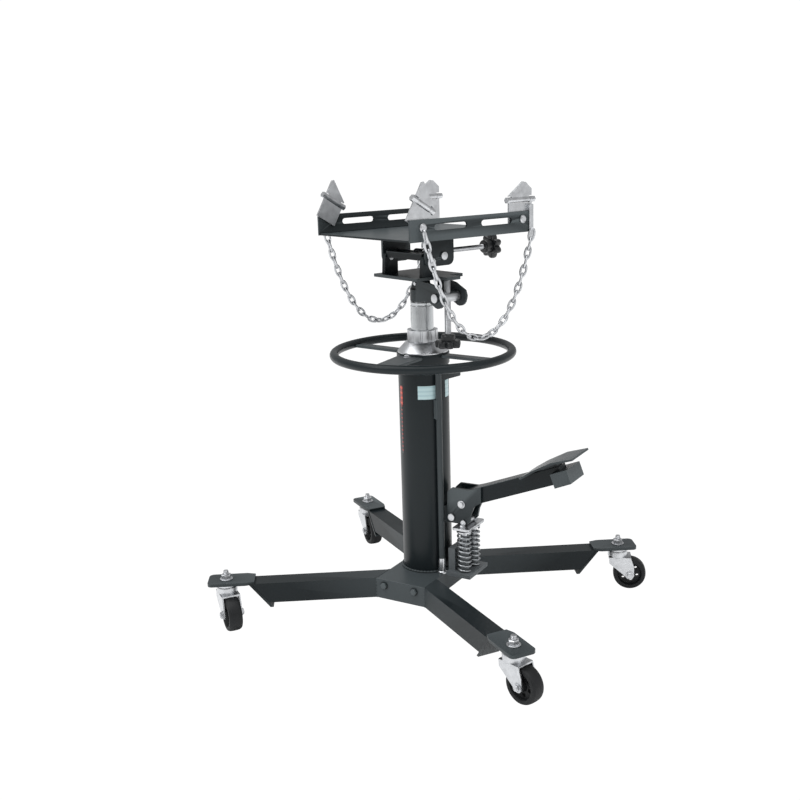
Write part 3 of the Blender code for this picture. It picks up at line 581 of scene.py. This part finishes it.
def chain_tree():
    """Links of round wire set along a curve, each a quarter turn from the last."""
    group, given, result = new_tree("chain_links", [
        ("Pitch", "NodeSocketFloat", 0.0185), ("Width", "NodeSocketFloat", 0.0155),
        ("Wire", "NodeSocketFloat", 0.0024), ("Finish", "NodeSocketMaterial", None)])
    curve = add_node(group, "GeometryNodeMeshToCurve", links={"Mesh": given.outputs["Geometry"]})
    spaced = add_node(group, "GeometryNodeResampleCurve", {"mode": "LENGTH"},
                      links={"Curve": curve.outputs[0], "Length": given.outputs["Pitch"]})
    spots = add_node(group, "GeometryNodeCurveToPoints", {"mode": "EVALUATED"},
                     links={"Curve": spaced.outputs[0]})
    circle = add_node(group, "GeometryNodeCurvePrimitiveCircle", values={"Resolution": 20, "Radius": 1.0})
    # half of a link's length and width to the middle of its wire, as parts of the pitch and the width
    stretch = add_node(group, "ShaderNodeMath", {"operation": "MULTIPLY"}, {1: 0.70},
                       {0: given.outputs["Pitch"]})
    half = add_node(group, "ShaderNodeMath", {"operation": "MULTIPLY"}, {1: 0.36},
                    {0: given.outputs["Width"]})
    oval = add_node(group, "ShaderNodeCombineXYZ", values={"Z": 1.0},
                    links={"X": half.outputs[0], "Y": stretch.outputs[0]})
    ring = add_node(group, "GeometryNodeTransform",
                    links={"Geometry": circle.outputs[0], "Scale": oval.outputs[0]})
    wire = add_node(group, "GeometryNodeCurvePrimitiveCircle", values={"Resolution": 8},
                    links={"Radius": given.outputs["Wire"]})
    link = add_node(group, "GeometryNodeCurveToMesh",
                    links={"Curve": ring.outputs[0], "Profile Curve": wire.outputs[0]})
    aim = add_node(group, "FunctionNodeAlignRotationToVector", {"axis": "Y"},
                   links={"Vector": spots.outputs["Tangent"]})
    index = add_node(group, "GeometryNodeInputIndex")
    quarter = add_node(group, "ShaderNodeMath", {"operation": "MULTIPLY"}, {1: math.pi / 2},
                       {0: index.outputs[0]})
    lean = add_node(group, "ShaderNodeMath", {"operation": "ADD"}, {1: math.radians(28)},
                    {0: quarter.outputs[0]})
    spin = add_node(group, "FunctionNodeAxisAngleToRotation", values={"Axis": (0, 1, 0)},
                    links={"Angle": lean.outputs[0]})
    turned = add_node(group, "FunctionNodeRotateRotation", {"rotation_space": "LOCAL"},
                      links={0: aim.outputs[0], 1: spin.outputs[0]})
    copies = add_node(group, "GeometryNodeInstanceOnPoints",
                      links={"Points": spots.outputs[0], "Instance": link.outputs[0],
                             "Rotation": turned.outputs[0]})
    return end_tree(group, given, result, copies.outputs[0])


def spring_tree():
    """A coil of round wire, standing at a place."""
    group, given, result = new_tree("return_spring", [
        ("Turns", "NodeSocketFloat", 8.0), ("Radius", "NodeSocketFloat", 0.0134),
        ("Wire", "NodeSocketFloat", 0.0024), ("Height", "NodeSocketFloat", 0.0851),
        ("Place", "NodeSocketVector", None), ("Finish", "NodeSocketMaterial", None)])
    coil = add_node(group, "GeometryNodeCurveSpiral", values={"Resolution": 32},
                    links={"Rotations": given.outputs["Turns"], "Start Radius": given.outputs["Radius"],
                           "End Radius": given.outputs["Radius"], "Height": given.outputs["Height"]})
    wire = add_node(group, "GeometryNodeCurvePrimitiveCircle", values={"Resolution": 10},
                    links={"Radius": given.outputs["Wire"]})
    tube = add_node(group, "GeometryNodeCurveToMesh", values={"Fill Caps": True},
                    links={"Curve": coil.outputs[0], "Profile Curve": wire.outputs[0]})
    placed = add_node(group, "GeometryNodeTransform",
                      links={"Geometry": tube.outputs[0], "Translation": given.outputs["Place"]})
    return end_tree(group, given, result, placed.outputs[0])


def bolt_tree(head):
    """Bolt heads set on points, each aimed along its point's stored direction."""
    group, given, result = new_tree("bolt_heads", [("Size", "NodeSocketFloat", 1.0),
                                                   ("Finish", "NodeSocketMaterial", None)])
    spots = add_node(group, "GeometryNodeMeshToPoints", links={"Mesh": given.outputs["Geometry"]})
    source = add_node(group, "GeometryNodeObjectInfo", {"transform_space": "ORIGINAL"})
    source.inputs["Object"].default_value = head
    facing = add_node(group, "GeometryNodeInputNamedAttribute", {"data_type": "FLOAT_VECTOR"},
                      {"Name": "facing"})
    aim = add_node(group, "FunctionNodeAlignRotationToVector", {"axis": "Z"},
                   links={"Vector": facing.outputs[0]})
    copies = add_node(group, "GeometryNodeInstanceOnPoints",
                      links={"Points": spots.outputs[0], "Instance": source.outputs["Geometry"],
                             "Rotation": aim.outputs[0], "Scale": given.outputs["Size"]})
    return end_tree(group, given, result, copies.outputs[0])


def bolt_heads(name, spots, scale, material, body):
    """One piece of bolt heads at (point, direction) pairs."""
    bm = bmesh.new()
    hex_head(bm, Matrix(), 0.0072, 0.0048)
    head = work_object(to_mesh("head", bm))
    head.name = "bolt_pattern_part"
    points = bpy.data.meshes.new("spots")
    points.from_pydata([tuple(point) for point, _ in spots], [], [])
    facing = points.attributes.new("facing", "FLOAT_VECTOR", "POINT")
    for i, (_, direction) in enumerate(spots):
        facing.data[i].vector = direction
    mesh = run_tree(points, bolt_tree(head), {"Size": scale, "Finish": MATERIALS[material]})
    bpy.data.objects.remove(head)
    return finish_piece(name, mesh, material, body, crease=30)


# ---------------------------------------------------------------- places from the frame
def joint_place(name):
    """A joint's place at rest, and its axis."""
    joint = JOINTS[name]
    return Vector(joint.get("pos_m", (0, 0, 0))), Vector(joint["axis"]).normalized()


# every height below is measured from a level 67.5 mm under the hub
FRAME_BOTTOM = 0.0675
AXIS = joint_place("saddle_swivel")[0]
AXIS.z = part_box("base_hub")[0].z - FRAME_BOTTOM
SADDLE_V = joint_place("saddle_rock")[1]
SADDLE_U = Vector(JOINTS["level_screw_travel"]["axis"]).normalized()


def saddle_point(u, v, z):
    """A point given along the rails, across them, and by height."""
    return AXIS + SADDLE_U * u + SADDLE_V * v + UP * z


def column_spot(radius, degrees, z):
    """A point given by its bearing and distance from the column's axis."""
    return AXIS + polar(radius, degrees, z)


# sizes that more than one piece depends on, in metres
COLUMN_RADIUS = 0.0545
COLUMN_BORE = 0.0465
COLUMN_TOP = 0.5745
CHAMBER_FLOOR = 0.1230
COLLAR_RADIUS = 0.0568
FLANGE_BORE = 0.0251
NUT_RADIUS = 0.0330
OUTER_RAM_RADIUS = 0.0246
OUTER_RAM_BORE = 0.0185
OUTER_RAM_TOP = 0.7070
INNER_RAM_RADIUS = 0.0178
RING_RADIUS = 0.1906
RING_TUBE = 0.0095
RING_LEVEL = 0.5980
HUB_HALF_X = 0.060
HUB_HALF_Y = 0.124
FRAME_TOP = 0.1125
TAB_TOP = 0.1185
LEG_HALF = 0.0225
LEG_ROOT_Y = 0.096
LEG_BEARING = math.radians(33.75)
STEM_RADIUS = 0.0058
TRAY_V = 0.0065
CHAIN_V = 0.1650
LEVEL_SCREW_HEIGHT = 0.808
RELEASE_BEARING = math.radians(-31.2)
SPRING_SEAT = 0.1215
SPRING_TOP = 0.2118
PLUNGER_X = 0.104
PLUNGER_Y = 0.0215


# ---------------------------------------------------------------- operators
class JACK_OT_materials(Operator):
    """Make the finishes"""
    bl_idname = "jack.materials"
    bl_label = "Finishes"

    def execute(self, context):
        tones = context.scene.jack_colours
        MATERIALS["paint"] = powder_coated_steel(tuple(tones.paint))
        MATERIALS["zinc"] = zinc_plated_steel(tuple(tones.zinc))
        MATERIALS["ram"] = turned_steel("ground_ram_steel", tuple(tones.ram), 0.17, 15.08)
        MATERIALS["turned"] = turned_steel("turned_plated_steel", tuple(tones.zinc), 0.27, 18.85)
        MATERIALS["spring"] = drawn_spring_steel(linear("a9adb0"))
        MATERIALS["casting"] = painted_cast_iron(tuple(tones.casting))
        MATERIALS["rubber"] = moulded_rubber(tuple(tones.rubber))
        MATERIALS["knob"] = moulded_phenolic(tuple(tones.knob))
        red = tuple(tones.red_label)
        MATERIALS["red_label"] = printed_film("red_printed_film", red, linear("c9442e"), 11)
        MATERIALS["red_marks"] = printed_film("red_ruled_film", linear("1c2224"), red, 9)
        MATERIALS["blue_label"] = printed_film("blue_printed_film", tuple(tones.blue_label),
                                               linear("a2c0c5"), 9)
        MATERIALS["floor"] = seamless_paper(tuple(tones.floor))
        return {"FINISHED"}


class JACK_OT_base(Operator):
    """Hub, four legs, their welds and bolts"""
    bl_idname = "jack.base"
    bl_label = "Base"

    def execute(self, context):
        sizes = context.scene.jack_sizes
        refined("base_hub", sizes.edge, "paint")
        for corner in CORNERS:
            refined("leg_" + corner, sizes.edge, "paint")
        bm = bmesh.new()
        half = LEG_HALF / math.cos(LEG_BEARING) - 0.001
        for sx in (-1, 1):
            for sy in (-1, 1):
                for side in (-1, 1):
                    root = AXIS + Vector((sx * (HUB_HALF_X + 0.0004), sy * LEG_ROOT_Y + side * half, 0))
                    weld_bead(bm, straight(root + UP * FRAME_BOTTOM, root + UP * FRAME_TOP), sizes.bead)
        finish_piece("leg_welds", to_mesh("leg_welds", bm), "paint", "base", crease=60)
        spots = []
        for x in (-0.040, 0.035):
            spots.append((AXIS + Vector((x, -HUB_HALF_Y, 0.099)), Vector((0, -1, 0))))
        for x in (-0.030, 0.030):
            spots.append((AXIS + Vector((x, HUB_HALF_Y, 0.096)), Vector((0, 1, 0))))
        bolt_heads("hub_bolts", spots, 1.0, "paint", "base")
        return {"FINISHED"}


class JACK_OT_casters(Operator):
    """Swivel forks, wheels, axles and stem nuts"""
    bl_idname = "jack.casters"
    bl_label = "Casters"

    def execute(self, context):
        sizes = context.scene.jack_sizes
        for corner in CORNERS:
            refined("caster_fork_" + corner, sizes.fine_edge, "zinc")
            self.stem(corner)
            self.wheel(corner)
            self.axle(corner)
        return {"FINISHED"}

    def stem(self, corner):
        """Raceway cup, threaded stem, washer and nut."""
        place = Matrix.Translation(joint_place("swivel_" + corner)[0].xy.to_3d() + UP * AXIS.z)
        bm = bmesh.new()
        lathe(bm, rounded([(0, 0.1045), (0.0210, 0.1045), (0.0225, 0.1060), (0.0225, 0.1100),
                           (0.0205, 0.1111), (0, 0.1111)], 0.0006), place, 48)
        lathe(bm, rounded([(0, 0.0835), (0.0100, 0.0835), (0.0100, 0.0866), (0, 0.0866)], 0.0005), place, 24)
        lathe(bm, [(0, 0.0860), (STEM_RADIUS, 0.0860), (STEM_RADIUS, 0.1200), (0, 0.1200)], place, 24)
        hex_head(bm, place @ Matrix.Translation((0, 0, TAB_TOP + 0.0003)), radius=0.0110, height=0.0100)
        threaded_rod(bm, place, STEM_RADIUS, low=0.1190, high=0.1385, pitch=0.0020)
        finish_piece("caster_stem_finished_" + corner, to_mesh("stem", bm), "zinc", "base",
                     ("caster_stem_" + corner,), 30)

    def wheel(self, corner):
        """Moulded wheel with a crowned tread, a deep web with round holes, and a hub."""
        centre, spin = joint_place("spin_" + corner)
        place = frame_along(centre, spin)
        # radius and half width, from the bore out to the tread
        side = [(0.0046, 0.0167), (0.0112, 0.0167), (0.0118, 0.0062), (0.0250, 0.0058), (0.0272, 0.0143),
                (0.0300, 0.0149), (0.0348, 0.0145), (0.0369, 0.0105), (0.0375, 0.0040)]
        profile = [(radius, -height) for radius, height in side]
        profile += list(reversed(side))
        bm = bmesh.new()
        lathe(bm, rounded(profile, 0.0012), place, 64)
        wheel = to_mesh("wheel", bm)
        bm = bmesh.new()
        for k in range(6):
            turn = Matrix.Rotation(math.radians(60 * k + 19), 4, "Z")
            hole = place @ turn @ Matrix.Translation((0.0186, 0, 0))
            lathe(bm, [(0, -0.03), (0.0042, -0.03), (0.0042, 0.03), (0, 0.03)], hole, 20)
        wheel = cut_away(wheel, to_mesh("holes", bm))
        finish_piece("caster_wheel_finished_" + corner, wheel, "rubber", "wheel_" + corner,
                     ("caster_wheel_" + corner,), 40)

    def axle(self, corner):
        """Bolt through the fork, with a hexagon at both ends."""
        centre, spin = joint_place("spin_" + corner)
        place = frame_along(centre, spin)
        bm = bmesh.new()
        lathe(bm, [(0, -0.0268), (0.0040, -0.0268), (0.0040, 0.0225), (0, 0.0225)], place, 20)
        for way in (spin, -spin):
            hex_head(bm, frame_along(centre + way * 0.0208, way), radius=0.0072, height=0.0038)
        finish_piece("caster_axle_finished_" + corner, to_mesh("axle", bm), "zinc", "fork_" + corner,
                     ("caster_axle_" + corner,), 30)


class JACK_OT_column(Operator):
    """Column tube, its labels, the carrying ring, the nut and both rams"""
    bl_idname = "jack.column"
    bl_label = "Column and rams"

    def execute(self, context):
        sizes = context.scene.jack_sizes
        place = Matrix.Translation(AXIS)
        bm = bmesh.new()
        low = FRAME_TOP + 0.0003
        lathe(bm, rounded([(0, low), (COLUMN_RADIUS, low), (COLUMN_RADIUS, COLUMN_TOP),
                           (COLUMN_BORE, COLUMN_TOP), (COLUMN_BORE, CHAMBER_FLOOR),
                           (0, CHAMBER_FLOOR)], 0.0010), place, 112)
        finish_piece("column_tube_finished", to_mesh("column", bm), "paint", "base", ("column_tube",))
        bm = bmesh.new()
        path = [column_spot(0.0562, 360 * i / 160, FRAME_TOP + 0.0022) for i in range(160)]
        weld_bead(bm, path, sizes.bead, closed=True)
        finish_piece("column_weld", to_mesh("weld", bm), "paint", "base", crease=60)
        self.ring(place, sizes)
        self.rams(place)
        self.label("red_label_head", "red_label", start=-127, end=-117, low=0.488, high=0.530)
        self.label("red_label_strip", "red_marks", start=-125, end=-119, low=0.380, high=0.487)
        self.label("blue_label_front", "blue_label", start=-74, end=-24, low=0.505, high=0.534)
        self.label("blue_label_side", "blue_label", start=-4, end=14, low=0.504, high=0.541)
        return {"FINISHED"}

    def ring(self, place, sizes):
        """Tube ring, collar and flat spokes."""
        bm = bmesh.new()
        path = [column_spot(RING_RADIUS, 360 * i / 144, RING_LEVEL) for i in range(144)]
        sweep(bm, path, lambda i: RING_TUBE, 20, closed=True)
        finish_piece("ring_tube", to_mesh("ring", bm), "paint", "base", ("handle_ring",), 60)
        bm = bmesh.new()
        lathe(bm, rounded([(0.0300, 0.5748), (COLLAR_RADIUS, 0.5748), (COLLAR_RADIUS, 0.5995),
                           (0.0300, 0.5995)], 0.0012), place, 96)
        finish_piece("ring_collar", to_mesh("collar", bm), "paint", "base")
        bm = bmesh.new()
        # each spoke's bearing, and its half width at the collar and at the ring
        for bearing, near, far in ((172, 0.013, 0.013), (-4, 0.013, 0.013), (-90, 0.030, 0.022)):
            turn = place @ Matrix.Rotation(math.radians(bearing), 4, "Z")
            prism(bm, [(0.055, -near), (0.186, -far), (0.186, far), (0.055, near)], 0.5915, 0.5975, turn)
        mesh = round_edges(to_mesh("spokes", bm), sizes.edge)
        finish_piece("ring_spokes", mesh, "paint", "base", crease=None)
        spots = [(column_spot(COLLAR_RADIUS, bearing, 0.587), polar(1, bearing)) for bearing in (-118, 62)]
        bolt_heads("ring_bolts", spots, 0.85, "zinc", "base")
        bolt_heads("spoke_bolts", [(column_spot(0.0670, -91, 0.5975), UP)], 0.8, "zinc", "base")

    def rams(self, place):
        """Cone flange and notched nut on the column, and the two rams inside it."""
        bm = bmesh.new()
        lathe(bm, rounded([(FLANGE_BORE, 0.5998), (COLUMN_RADIUS, 0.5998), (COLUMN_RADIUS, 0.6030),
                           (0.0400, 0.6185), (0.0360, 0.6225), (FLANGE_BORE, 0.6225)], 0.0010), place, 96)
        finish_piece("cone_flange", to_mesh("flange", bm), "turned", "base", ("gland_nut",))
        bm = bmesh.new()
        outline = []
        for start in range(0, 360, 30):
            outline += arc(NUT_RADIUS, start, start + 21, 5)
            outline += arc(NUT_RADIUS - 0.0018, start + 22, start + 29, 2)
        prism(bm, outline, 0.6226, 0.6480, place)
        mesh = round_edges(to_mesh("nut", bm), 0.0007)
        finish_piece("collar_nut", mesh, "turned", "base", crease=None)
        bm = bmesh.new()
        groove = OUTER_RAM_RADIUS - 0.0008
        lathe(bm, rounded([(OUTER_RAM_BORE, 0.1350), (0.0462, 0.1350), (0.0462, 0.1600),
                           (OUTER_RAM_RADIUS, 0.1640), (OUTER_RAM_RADIUS, 0.6990), (groove, 0.6996),
                           (groove, 0.7010), (OUTER_RAM_RADIUS, 0.7016), (OUTER_RAM_RADIUS, OUTER_RAM_TOP),
                           (OUTER_RAM_BORE, OUTER_RAM_TOP)], 0.0006), place, 96)
        finish_piece("outer_ram_finished", to_mesh("outer", bm), "ram", "outer", ("outer_ram",))
        bm = bmesh.new()
        lathe(bm, rounded([(0, 0.1500), (0.0182, 0.1500), (0.0182, 0.1700), (INNER_RAM_RADIUS, 0.1710),
                           (INNER_RAM_RADIUS, 0.7085), (0.0120, 0.7085), (0.0120, 0.7300),
                           (0, 0.7300)], 0.0005), place, 72)
        finish_piece("inner_ram_finished", to_mesh("inner", bm), "ram", "inner", ("inner_ram",))

    def label(self, name, material, start, end, low, high):
        """A film label wrapped on the column from one bearing to another."""
        bm = bmesh.new()
        steps = max(3, int((end - start) / 3))
        outer = arc(COLUMN_RADIUS + 0.0005, start, end, steps)
        inner = arc(COLUMN_RADIUS + 0.0001, end, start, steps)
        prism(bm, outer + inner, low, high, Matrix.Translation(AXIS))
        finish_piece(name, to_mesh(name, bm), material, "base")


class JACK_OT_release(Operator):
    """Release rod, its valve, and the guide that holds it to the column"""
    bl_idname = "jack.release"
    bl_label = "Release rod"

    def execute(self, context):
        sizes = context.scene.jack_sizes
        refined("release_valve", sizes.fine_edge, "turned")
        refined("release_rod", sizes.fine_edge, "paint")
        bm = bmesh.new()
        turn = Matrix.Translation(AXIS) @ Matrix.Rotation(RELEASE_BEARING, 4, "Z")
        prism(bm, [(0.0540, -0.007), (0.0675, -0.007), (0.0675, 0.007), (0.0540, 0.007)], 0.462, 0.504, turn)
        guide = to_mesh("guide", bm)
        spot = joint_place("release_turn")[0]
        bm = bmesh.new()
        lathe(bm, [(0, 0.44), (0.0069, 0.44), (0.0069, 0.52), (0, 0.52)],
              Matrix.Translation((spot.x, spot.y, 0)), 32)
        finish_piece("rod_guide", cut_away(guide, to_mesh("bore", bm)), "paint", "base")
        return {"FINISHED"}


class JACK_OT_pump(Operator):
    """Pump body, plungers and return springs"""
    bl_idname = "jack.pump"
    bl_label = "Pump"

    def execute(self, context):
        sizes = context.scene.jack_sizes
        refined("pump_block", sizes.cast_edge, "casting")
        refined("plunger_bridge", sizes.fine_edge, "zinc")
        bm = bmesh.new()
        for side in (-1, 1):
            place = Matrix.Translation(AXIS + Vector((PLUNGER_X, side * PLUNGER_Y, 0)))
            lathe(bm, rounded([(0, 0.1500), (0.0080, 0.1500), (0.0080, 0.2110), (0.0162, 0.2120),
                               (0.0162, 0.2150), (0.0100, 0.2168), (0.0080, 0.2192), (0, 0.2192)], 0.0006),
                  place, 48)
        finish_piece("plungers_finished", to_mesh("plungers", bm), "turned", "plungers",
                     ("plunger_left", "plunger_right"))
        spots = [(AXIS + Vector((PLUNGER_X, side * PLUNGER_Y * 1.35, 0.2245)), UP) for side in (-1, 1)]
        bolt_heads("bridge_bolts", spots, 0.8, "zinc", "plungers")
        tree = spring_tree()
        height = SPRING_TOP - SPRING_SEAT
        for name, side in (("left", 1), ("right", -1)):
            foot = AXIS + Vector((PLUNGER_X, side * PLUNGER_Y, SPRING_SEAT + sizes.spring_wire + 0.0003))
            mesh = run_tree(bpy.data.meshes.new("seed"), tree, {
                "Turns": float(sizes.spring_turns), "Radius": sizes.spring_radius,
                "Wire": sizes.spring_wire, "Height": height - 2 * sizes.spring_wire - 0.0004,
                "Place": foot, "Finish": MATERIALS["spring"]})
            piece = finish_piece("spring_finished_" + name, mesh, "spring", "base", ("spring_" + name,), 60)
            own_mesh(piece)
        return {"FINISHED"}


class JACK_OT_pedal(Operator):
    """Foot pedal, its bracket, pin and roller"""
    bl_idname = "jack.pedal"
    bl_label = "Pedal"

    def execute(self, context):
        sizes = context.scene.jack_sizes
        refined("pedal_arm", sizes.edge, "paint")
        refined("pedal_bracket", sizes.edge, "paint")
        for node in ("pedal_pivot_pin", "pedal_roller"):
            refined(node, sizes.fine_edge, "zinc")
        spots = []
        for side in (-1, 1):
            spots.append((AXIS + Vector((0.0990, side * 0.0225, 0.2740)), Vector((0, side, 0))))
        bolt_heads("pedal_bolts", spots, 0.95, "zinc", "pedal")
        return {"FINISHED"}


class JACK_OT_saddle(Operator):
    """Socket, cradle, tray, pins, screws and knobs"""
    bl_idname = "jack.saddle"
    bl_label = "Saddle"

    def execute(self, context):
        sizes = context.scene.jack_sizes
        for node in ("saddle_socket", "tilt_frame", "saddle_tray"):
            refined(node, sizes.edge * 0.7, "paint")
        for node in ("tilt_pin", "tilt_trunnion", "rock_pin_left", "rock_pin_right", "rock_trunnion"):
            refined(node, sizes.fine_edge, "zinc")
        knob_spot = joint_place("upright_knob_turn")[0]
        upright = Matrix.Translation((knob_spot.x, knob_spot.y, AXIS.z))
        bm = bmesh.new()
        threaded_rod(bm, upright, radius=0.0070, low=0.6465, high=0.7590, pitch=sizes.thread_pitch)
        finish_piece("tilt_screw_finished", to_mesh("screw", bm), "zinc", "upright_screw",
                     ("tilt_screw",), 30)
        level = frame_along(saddle_point(0, 0, LEVEL_SCREW_HEIGHT), SADDLE_U)
        bm = bmesh.new()
        threaded_rod(bm, level, radius=0.0055, low=-0.0250, high=0.1793, pitch=sizes.thread_pitch)
        finish_piece("level_screw_finished", to_mesh("screw", bm), "zinc", "level_screw",
                     ("rock_screw",), 30)
        self.knob("tilt_knob", "upright_knob", upright, low=0.6185, high=0.6335, face=0.6180, neck=0.6462)
        self.knob("rock_knob", "level_knob", level, low=0.1960, high=0.2130, face=0.2165, neck=0.1800)
        return {"FINISHED"}

    def knob(self, node, body, place, low, high, face, neck):
        """A star knob with rounded lobes between two levels, and a hub from its face to its neck."""
        bm = bmesh.new()
        lobes = 7
        segments = 112
        core = 0.0198
        lobe = 0.0080
        rounding = 0.0050
        middle = (low + high) / 2
        half = (high - low) / 2
        rows = []
        for step in range(13):
            angle = math.pi * step / 12
            level = middle - half * math.cos(angle)
            pull = rounding * (1 - math.sin(angle) ** 0.5)
            row = []
            for i in range(segments):
                wave = (0.5 + 0.5 * math.cos(2 * math.pi * lobes * i / segments)) ** 0.6
                reach = core + lobe * wave - pull
                row.append(bm.verts.new(place @ polar(reach, 360 * i / segments, level)))
            rows.append(row)
        skin(bm, rows)
        finish_piece(node + "_star", to_mesh("star", bm), "knob", body, (node,), 50)
        near, far = sorted((face, neck))
        bm = bmesh.new()
        lathe(bm, rounded([(0, near), (0.0132, near), (0.0148, near + 0.0020), (0.0148, far - 0.0032),
                           (0.0130, far), (0, far)], 0.0010), place, 48)
        finish_piece(node + "_hub", to_mesh("hub", bm), "knob", body)


class JACK_OT_claws(Operator):
    """Corner brackets and their hinged claws"""
    bl_idname = "jack.claws"
    bl_label = "Claws"

    def execute(self, context):
        sizes = context.scene.jack_sizes
        for corner in CORNERS:
            refined("bracket_" + corner, sizes.fine_edge, "zinc")
            refined("claw_" + corner, sizes.fine_edge, "zinc")
        return {"FINISHED"}


class JACK_OT_chains(Operator):
    """The two hanging chains"""
    bl_idname = "jack.chains"
    bl_label = "Chains"

    def execute(self, context):
        sizes = context.scene.jack_sizes
        tree = chain_tree()
        for name, v in (("left", TRAY_V - CHAIN_V), ("right", TRAY_V + CHAIN_V)):
            line = self.hanging(start=(-0.1300, 0.8600), low=(0.012, 0.6480), end=(0.1560, 0.8440))
            spots = [tuple(saddle_point(u, v, z)) for u, z in line]
            path = bpy.data.meshes.new("path")
            path.from_pydata(spots, [(i, i + 1) for i in range(len(spots) - 1)], [])
            mesh = run_tree(path, tree, {"Pitch": sizes.link_length, "Width": sizes.link_width,
                                         "Wire": sizes.link_wire, "Finish": MATERIALS["zinc"]})
            finish_piece("chain_links_" + name, mesh, "zinc", "tray", ("chain_" + name,), 60)
        return {"FINISHED"}

    def hanging(self, start, low, end):
        """Points of a chain hanging from start to end through its lowest point, as a catenary each side."""
        points = []
        steps = 120
        slack = 1.9
        for i in range(steps + 1):
            u = start[0] + (end[0] - start[0]) * i / steps
            side = start if u < low[0] else end
            part = abs(u - low[0]) / abs(side[0] - low[0])
            drop = (math.cosh(slack * part) - 1) / (math.cosh(slack) - 1)
            points.append((u, low[1] + (side[1] - low[1]) * drop))
        return points


class JACK_OT_stage(Operator):
    """Floor, lights and camera"""
    bl_idname = "jack.stage"
    bl_label = "Studio"

    def execute(self, context):
        scene = context.scene
        mesh = bpy.data.meshes.new("floor")
        reach = 14.0
        mesh.from_pydata([(-reach, -reach, 0), (reach, -reach, 0), (reach, reach, 0), (-reach, reach, 0)], [],
                         [(0, 1, 2, 3)])
        mesh.materials.append(MATERIALS["floor"])
        floor = bpy.data.objects.new("studio_floor", mesh)
        context.collection.objects.link(floor)
        # the paper throws light up at the jack, but isn't seen, so no shadow lies under it
        floor.visible_camera = False
        scene.world = self.air()
        self.sun("sky_light", direction=(-0.25, -0.25, 1.6), strength=2.6, spread=70)
        self.lamp("key_light", spot=(-1.4, -2.4, 2.4), width=0.9, power=16)
        self.lamp("fill_light", spot=(2.6, -0.6, 1.6), width=0.9, power=8)
        self.camera(scene)
        scene.view_settings.view_transform = "Standard"
        return {"FINISHED"}

    def air(self):
        """Air that is white where it is seen, and dimmer where it lights the jack."""
        world = bpy.data.worlds.new("studio_air")
        world.use_nodes = True
        tree = world.node_tree
        seen = add_node(tree, "ShaderNodeLightPath")
        level = add_node(tree, "ShaderNodeMapRange", values={"To Min": 0.50, "To Max": 1.05},
                         links={"Value": seen.outputs["Is Camera Ray"]})
        tree.nodes["Background"].inputs["Color"].default_value = (1.0, 1.0, 1.0, 1.0)
        tree.links.new(level.outputs[0], tree.nodes["Background"].inputs["Strength"])
        return world

    def sun(self, name, direction, strength, spread):
        """Light from a direction, spread over this many degrees."""
        light = bpy.data.lights.new(name, "SUN")
        light.energy = strength
        light.angle = math.radians(spread)
        lamp = bpy.data.objects.new(name, light)
        bpy.context.collection.objects.link(lamp)
        lamp.matrix_world = Vector(direction).to_track_quat("Z", "Y").to_matrix().to_4x4()

    def lamp(self, name, spot, width, power):
        """A square lamp of this width, aimed at the jack's middle."""
        light = bpy.data.lights.new(name, "AREA")
        light.size = width
        light.energy = power
        lamp = bpy.data.objects.new(name, light)
        bpy.context.collection.objects.link(lamp)
        aim = Vector((0, 0, 0.5)) - Vector(spot)
        lamp.matrix_world = Matrix.Translation(spot) @ aim.to_track_quat("-Z", "Y").to_matrix().to_4x4()

    def camera(self, scene):
        """A view from the pedal's side, 2.2 m from the column and looking down by 14 degrees."""
        turn, tip, roll = math.radians(29.942), math.radians(13.809), math.radians(-1.412)
        lens = bpy.data.cameras.new("studio_camera")
        lens.sensor_width = 36.0
        lens.lens = 47.503
        lens.shift_x = -0.0303
        lens.shift_y = 0.0035
        camera = bpy.data.objects.new("studio_camera", lens)
        bpy.context.collection.objects.link(camera)
        turned = (Matrix.Rotation(turn, 4, "Z") @ Matrix.Rotation(math.pi / 2 - tip, 4, "X")
                  @ Matrix.Rotation(roll, 4, "Z"))
        camera.matrix_world = Matrix.Translation(AXIS + Vector((1.1116, -1.9298, 1.0323))) @ turned
        scene.camera = camera


class JACK_PT_build(Panel):
    """Sizes, colours and the building steps"""
    bl_idname = "JACK_PT_build"
    bl_label = "Transmission Jack"
    bl_space_type = "VIEW_3D"
    bl_region_type = "UI"
    bl_category = "Jack"

    def draw(self, context):
        for group in (context.scene.jack_sizes, context.scene.jack_colours):
            box = self.layout.box()
            for key in group.__annotations__:
                box.prop(group, key)
        for step in STEPS:
            self.layout.operator(step.bl_idname)


STEPS = (JACK_OT_materials, JACK_OT_base, JACK_OT_casters, JACK_OT_column, JACK_OT_release, JACK_OT_pump,
         JACK_OT_pedal, JACK_OT_saddle, JACK_OT_claws, JACK_OT_chains, JACK_OT_stage)
CLASSES = (JackSizes, JackColours) + STEPS + (JACK_PT_build,)


def register():
    for item in CLASSES:
        bpy.utils.register_class(item)
    bpy.types.Scene.jack_sizes = PointerProperty(type=JackSizes)
    bpy.types.Scene.jack_colours = PointerProperty(type=JackColours)


def unregister():
    del bpy.types.Scene.jack_colours
    del bpy.types.Scene.jack_sizes
    for item in reversed(CLASSES):
        bpy.utils.unregister_class(item)


def main():
    """Build every piece and the stage."""
    register()
    bpy.ops.jack.materials()
    bpy.ops.jack.base()
    bpy.ops.jack.casters()
    bpy.ops.jack.column()
    bpy.ops.jack.release()
    bpy.ops.jack.pump()
    bpy.ops.jack.pedal()
    bpy.ops.jack.saddle()
    bpy.ops.jack.claws()
    bpy.ops.jack.chains()
    bpy.ops.jack.stage()
    bpy.context.view_layer.update()


if __name__ == "__main__":
    main()
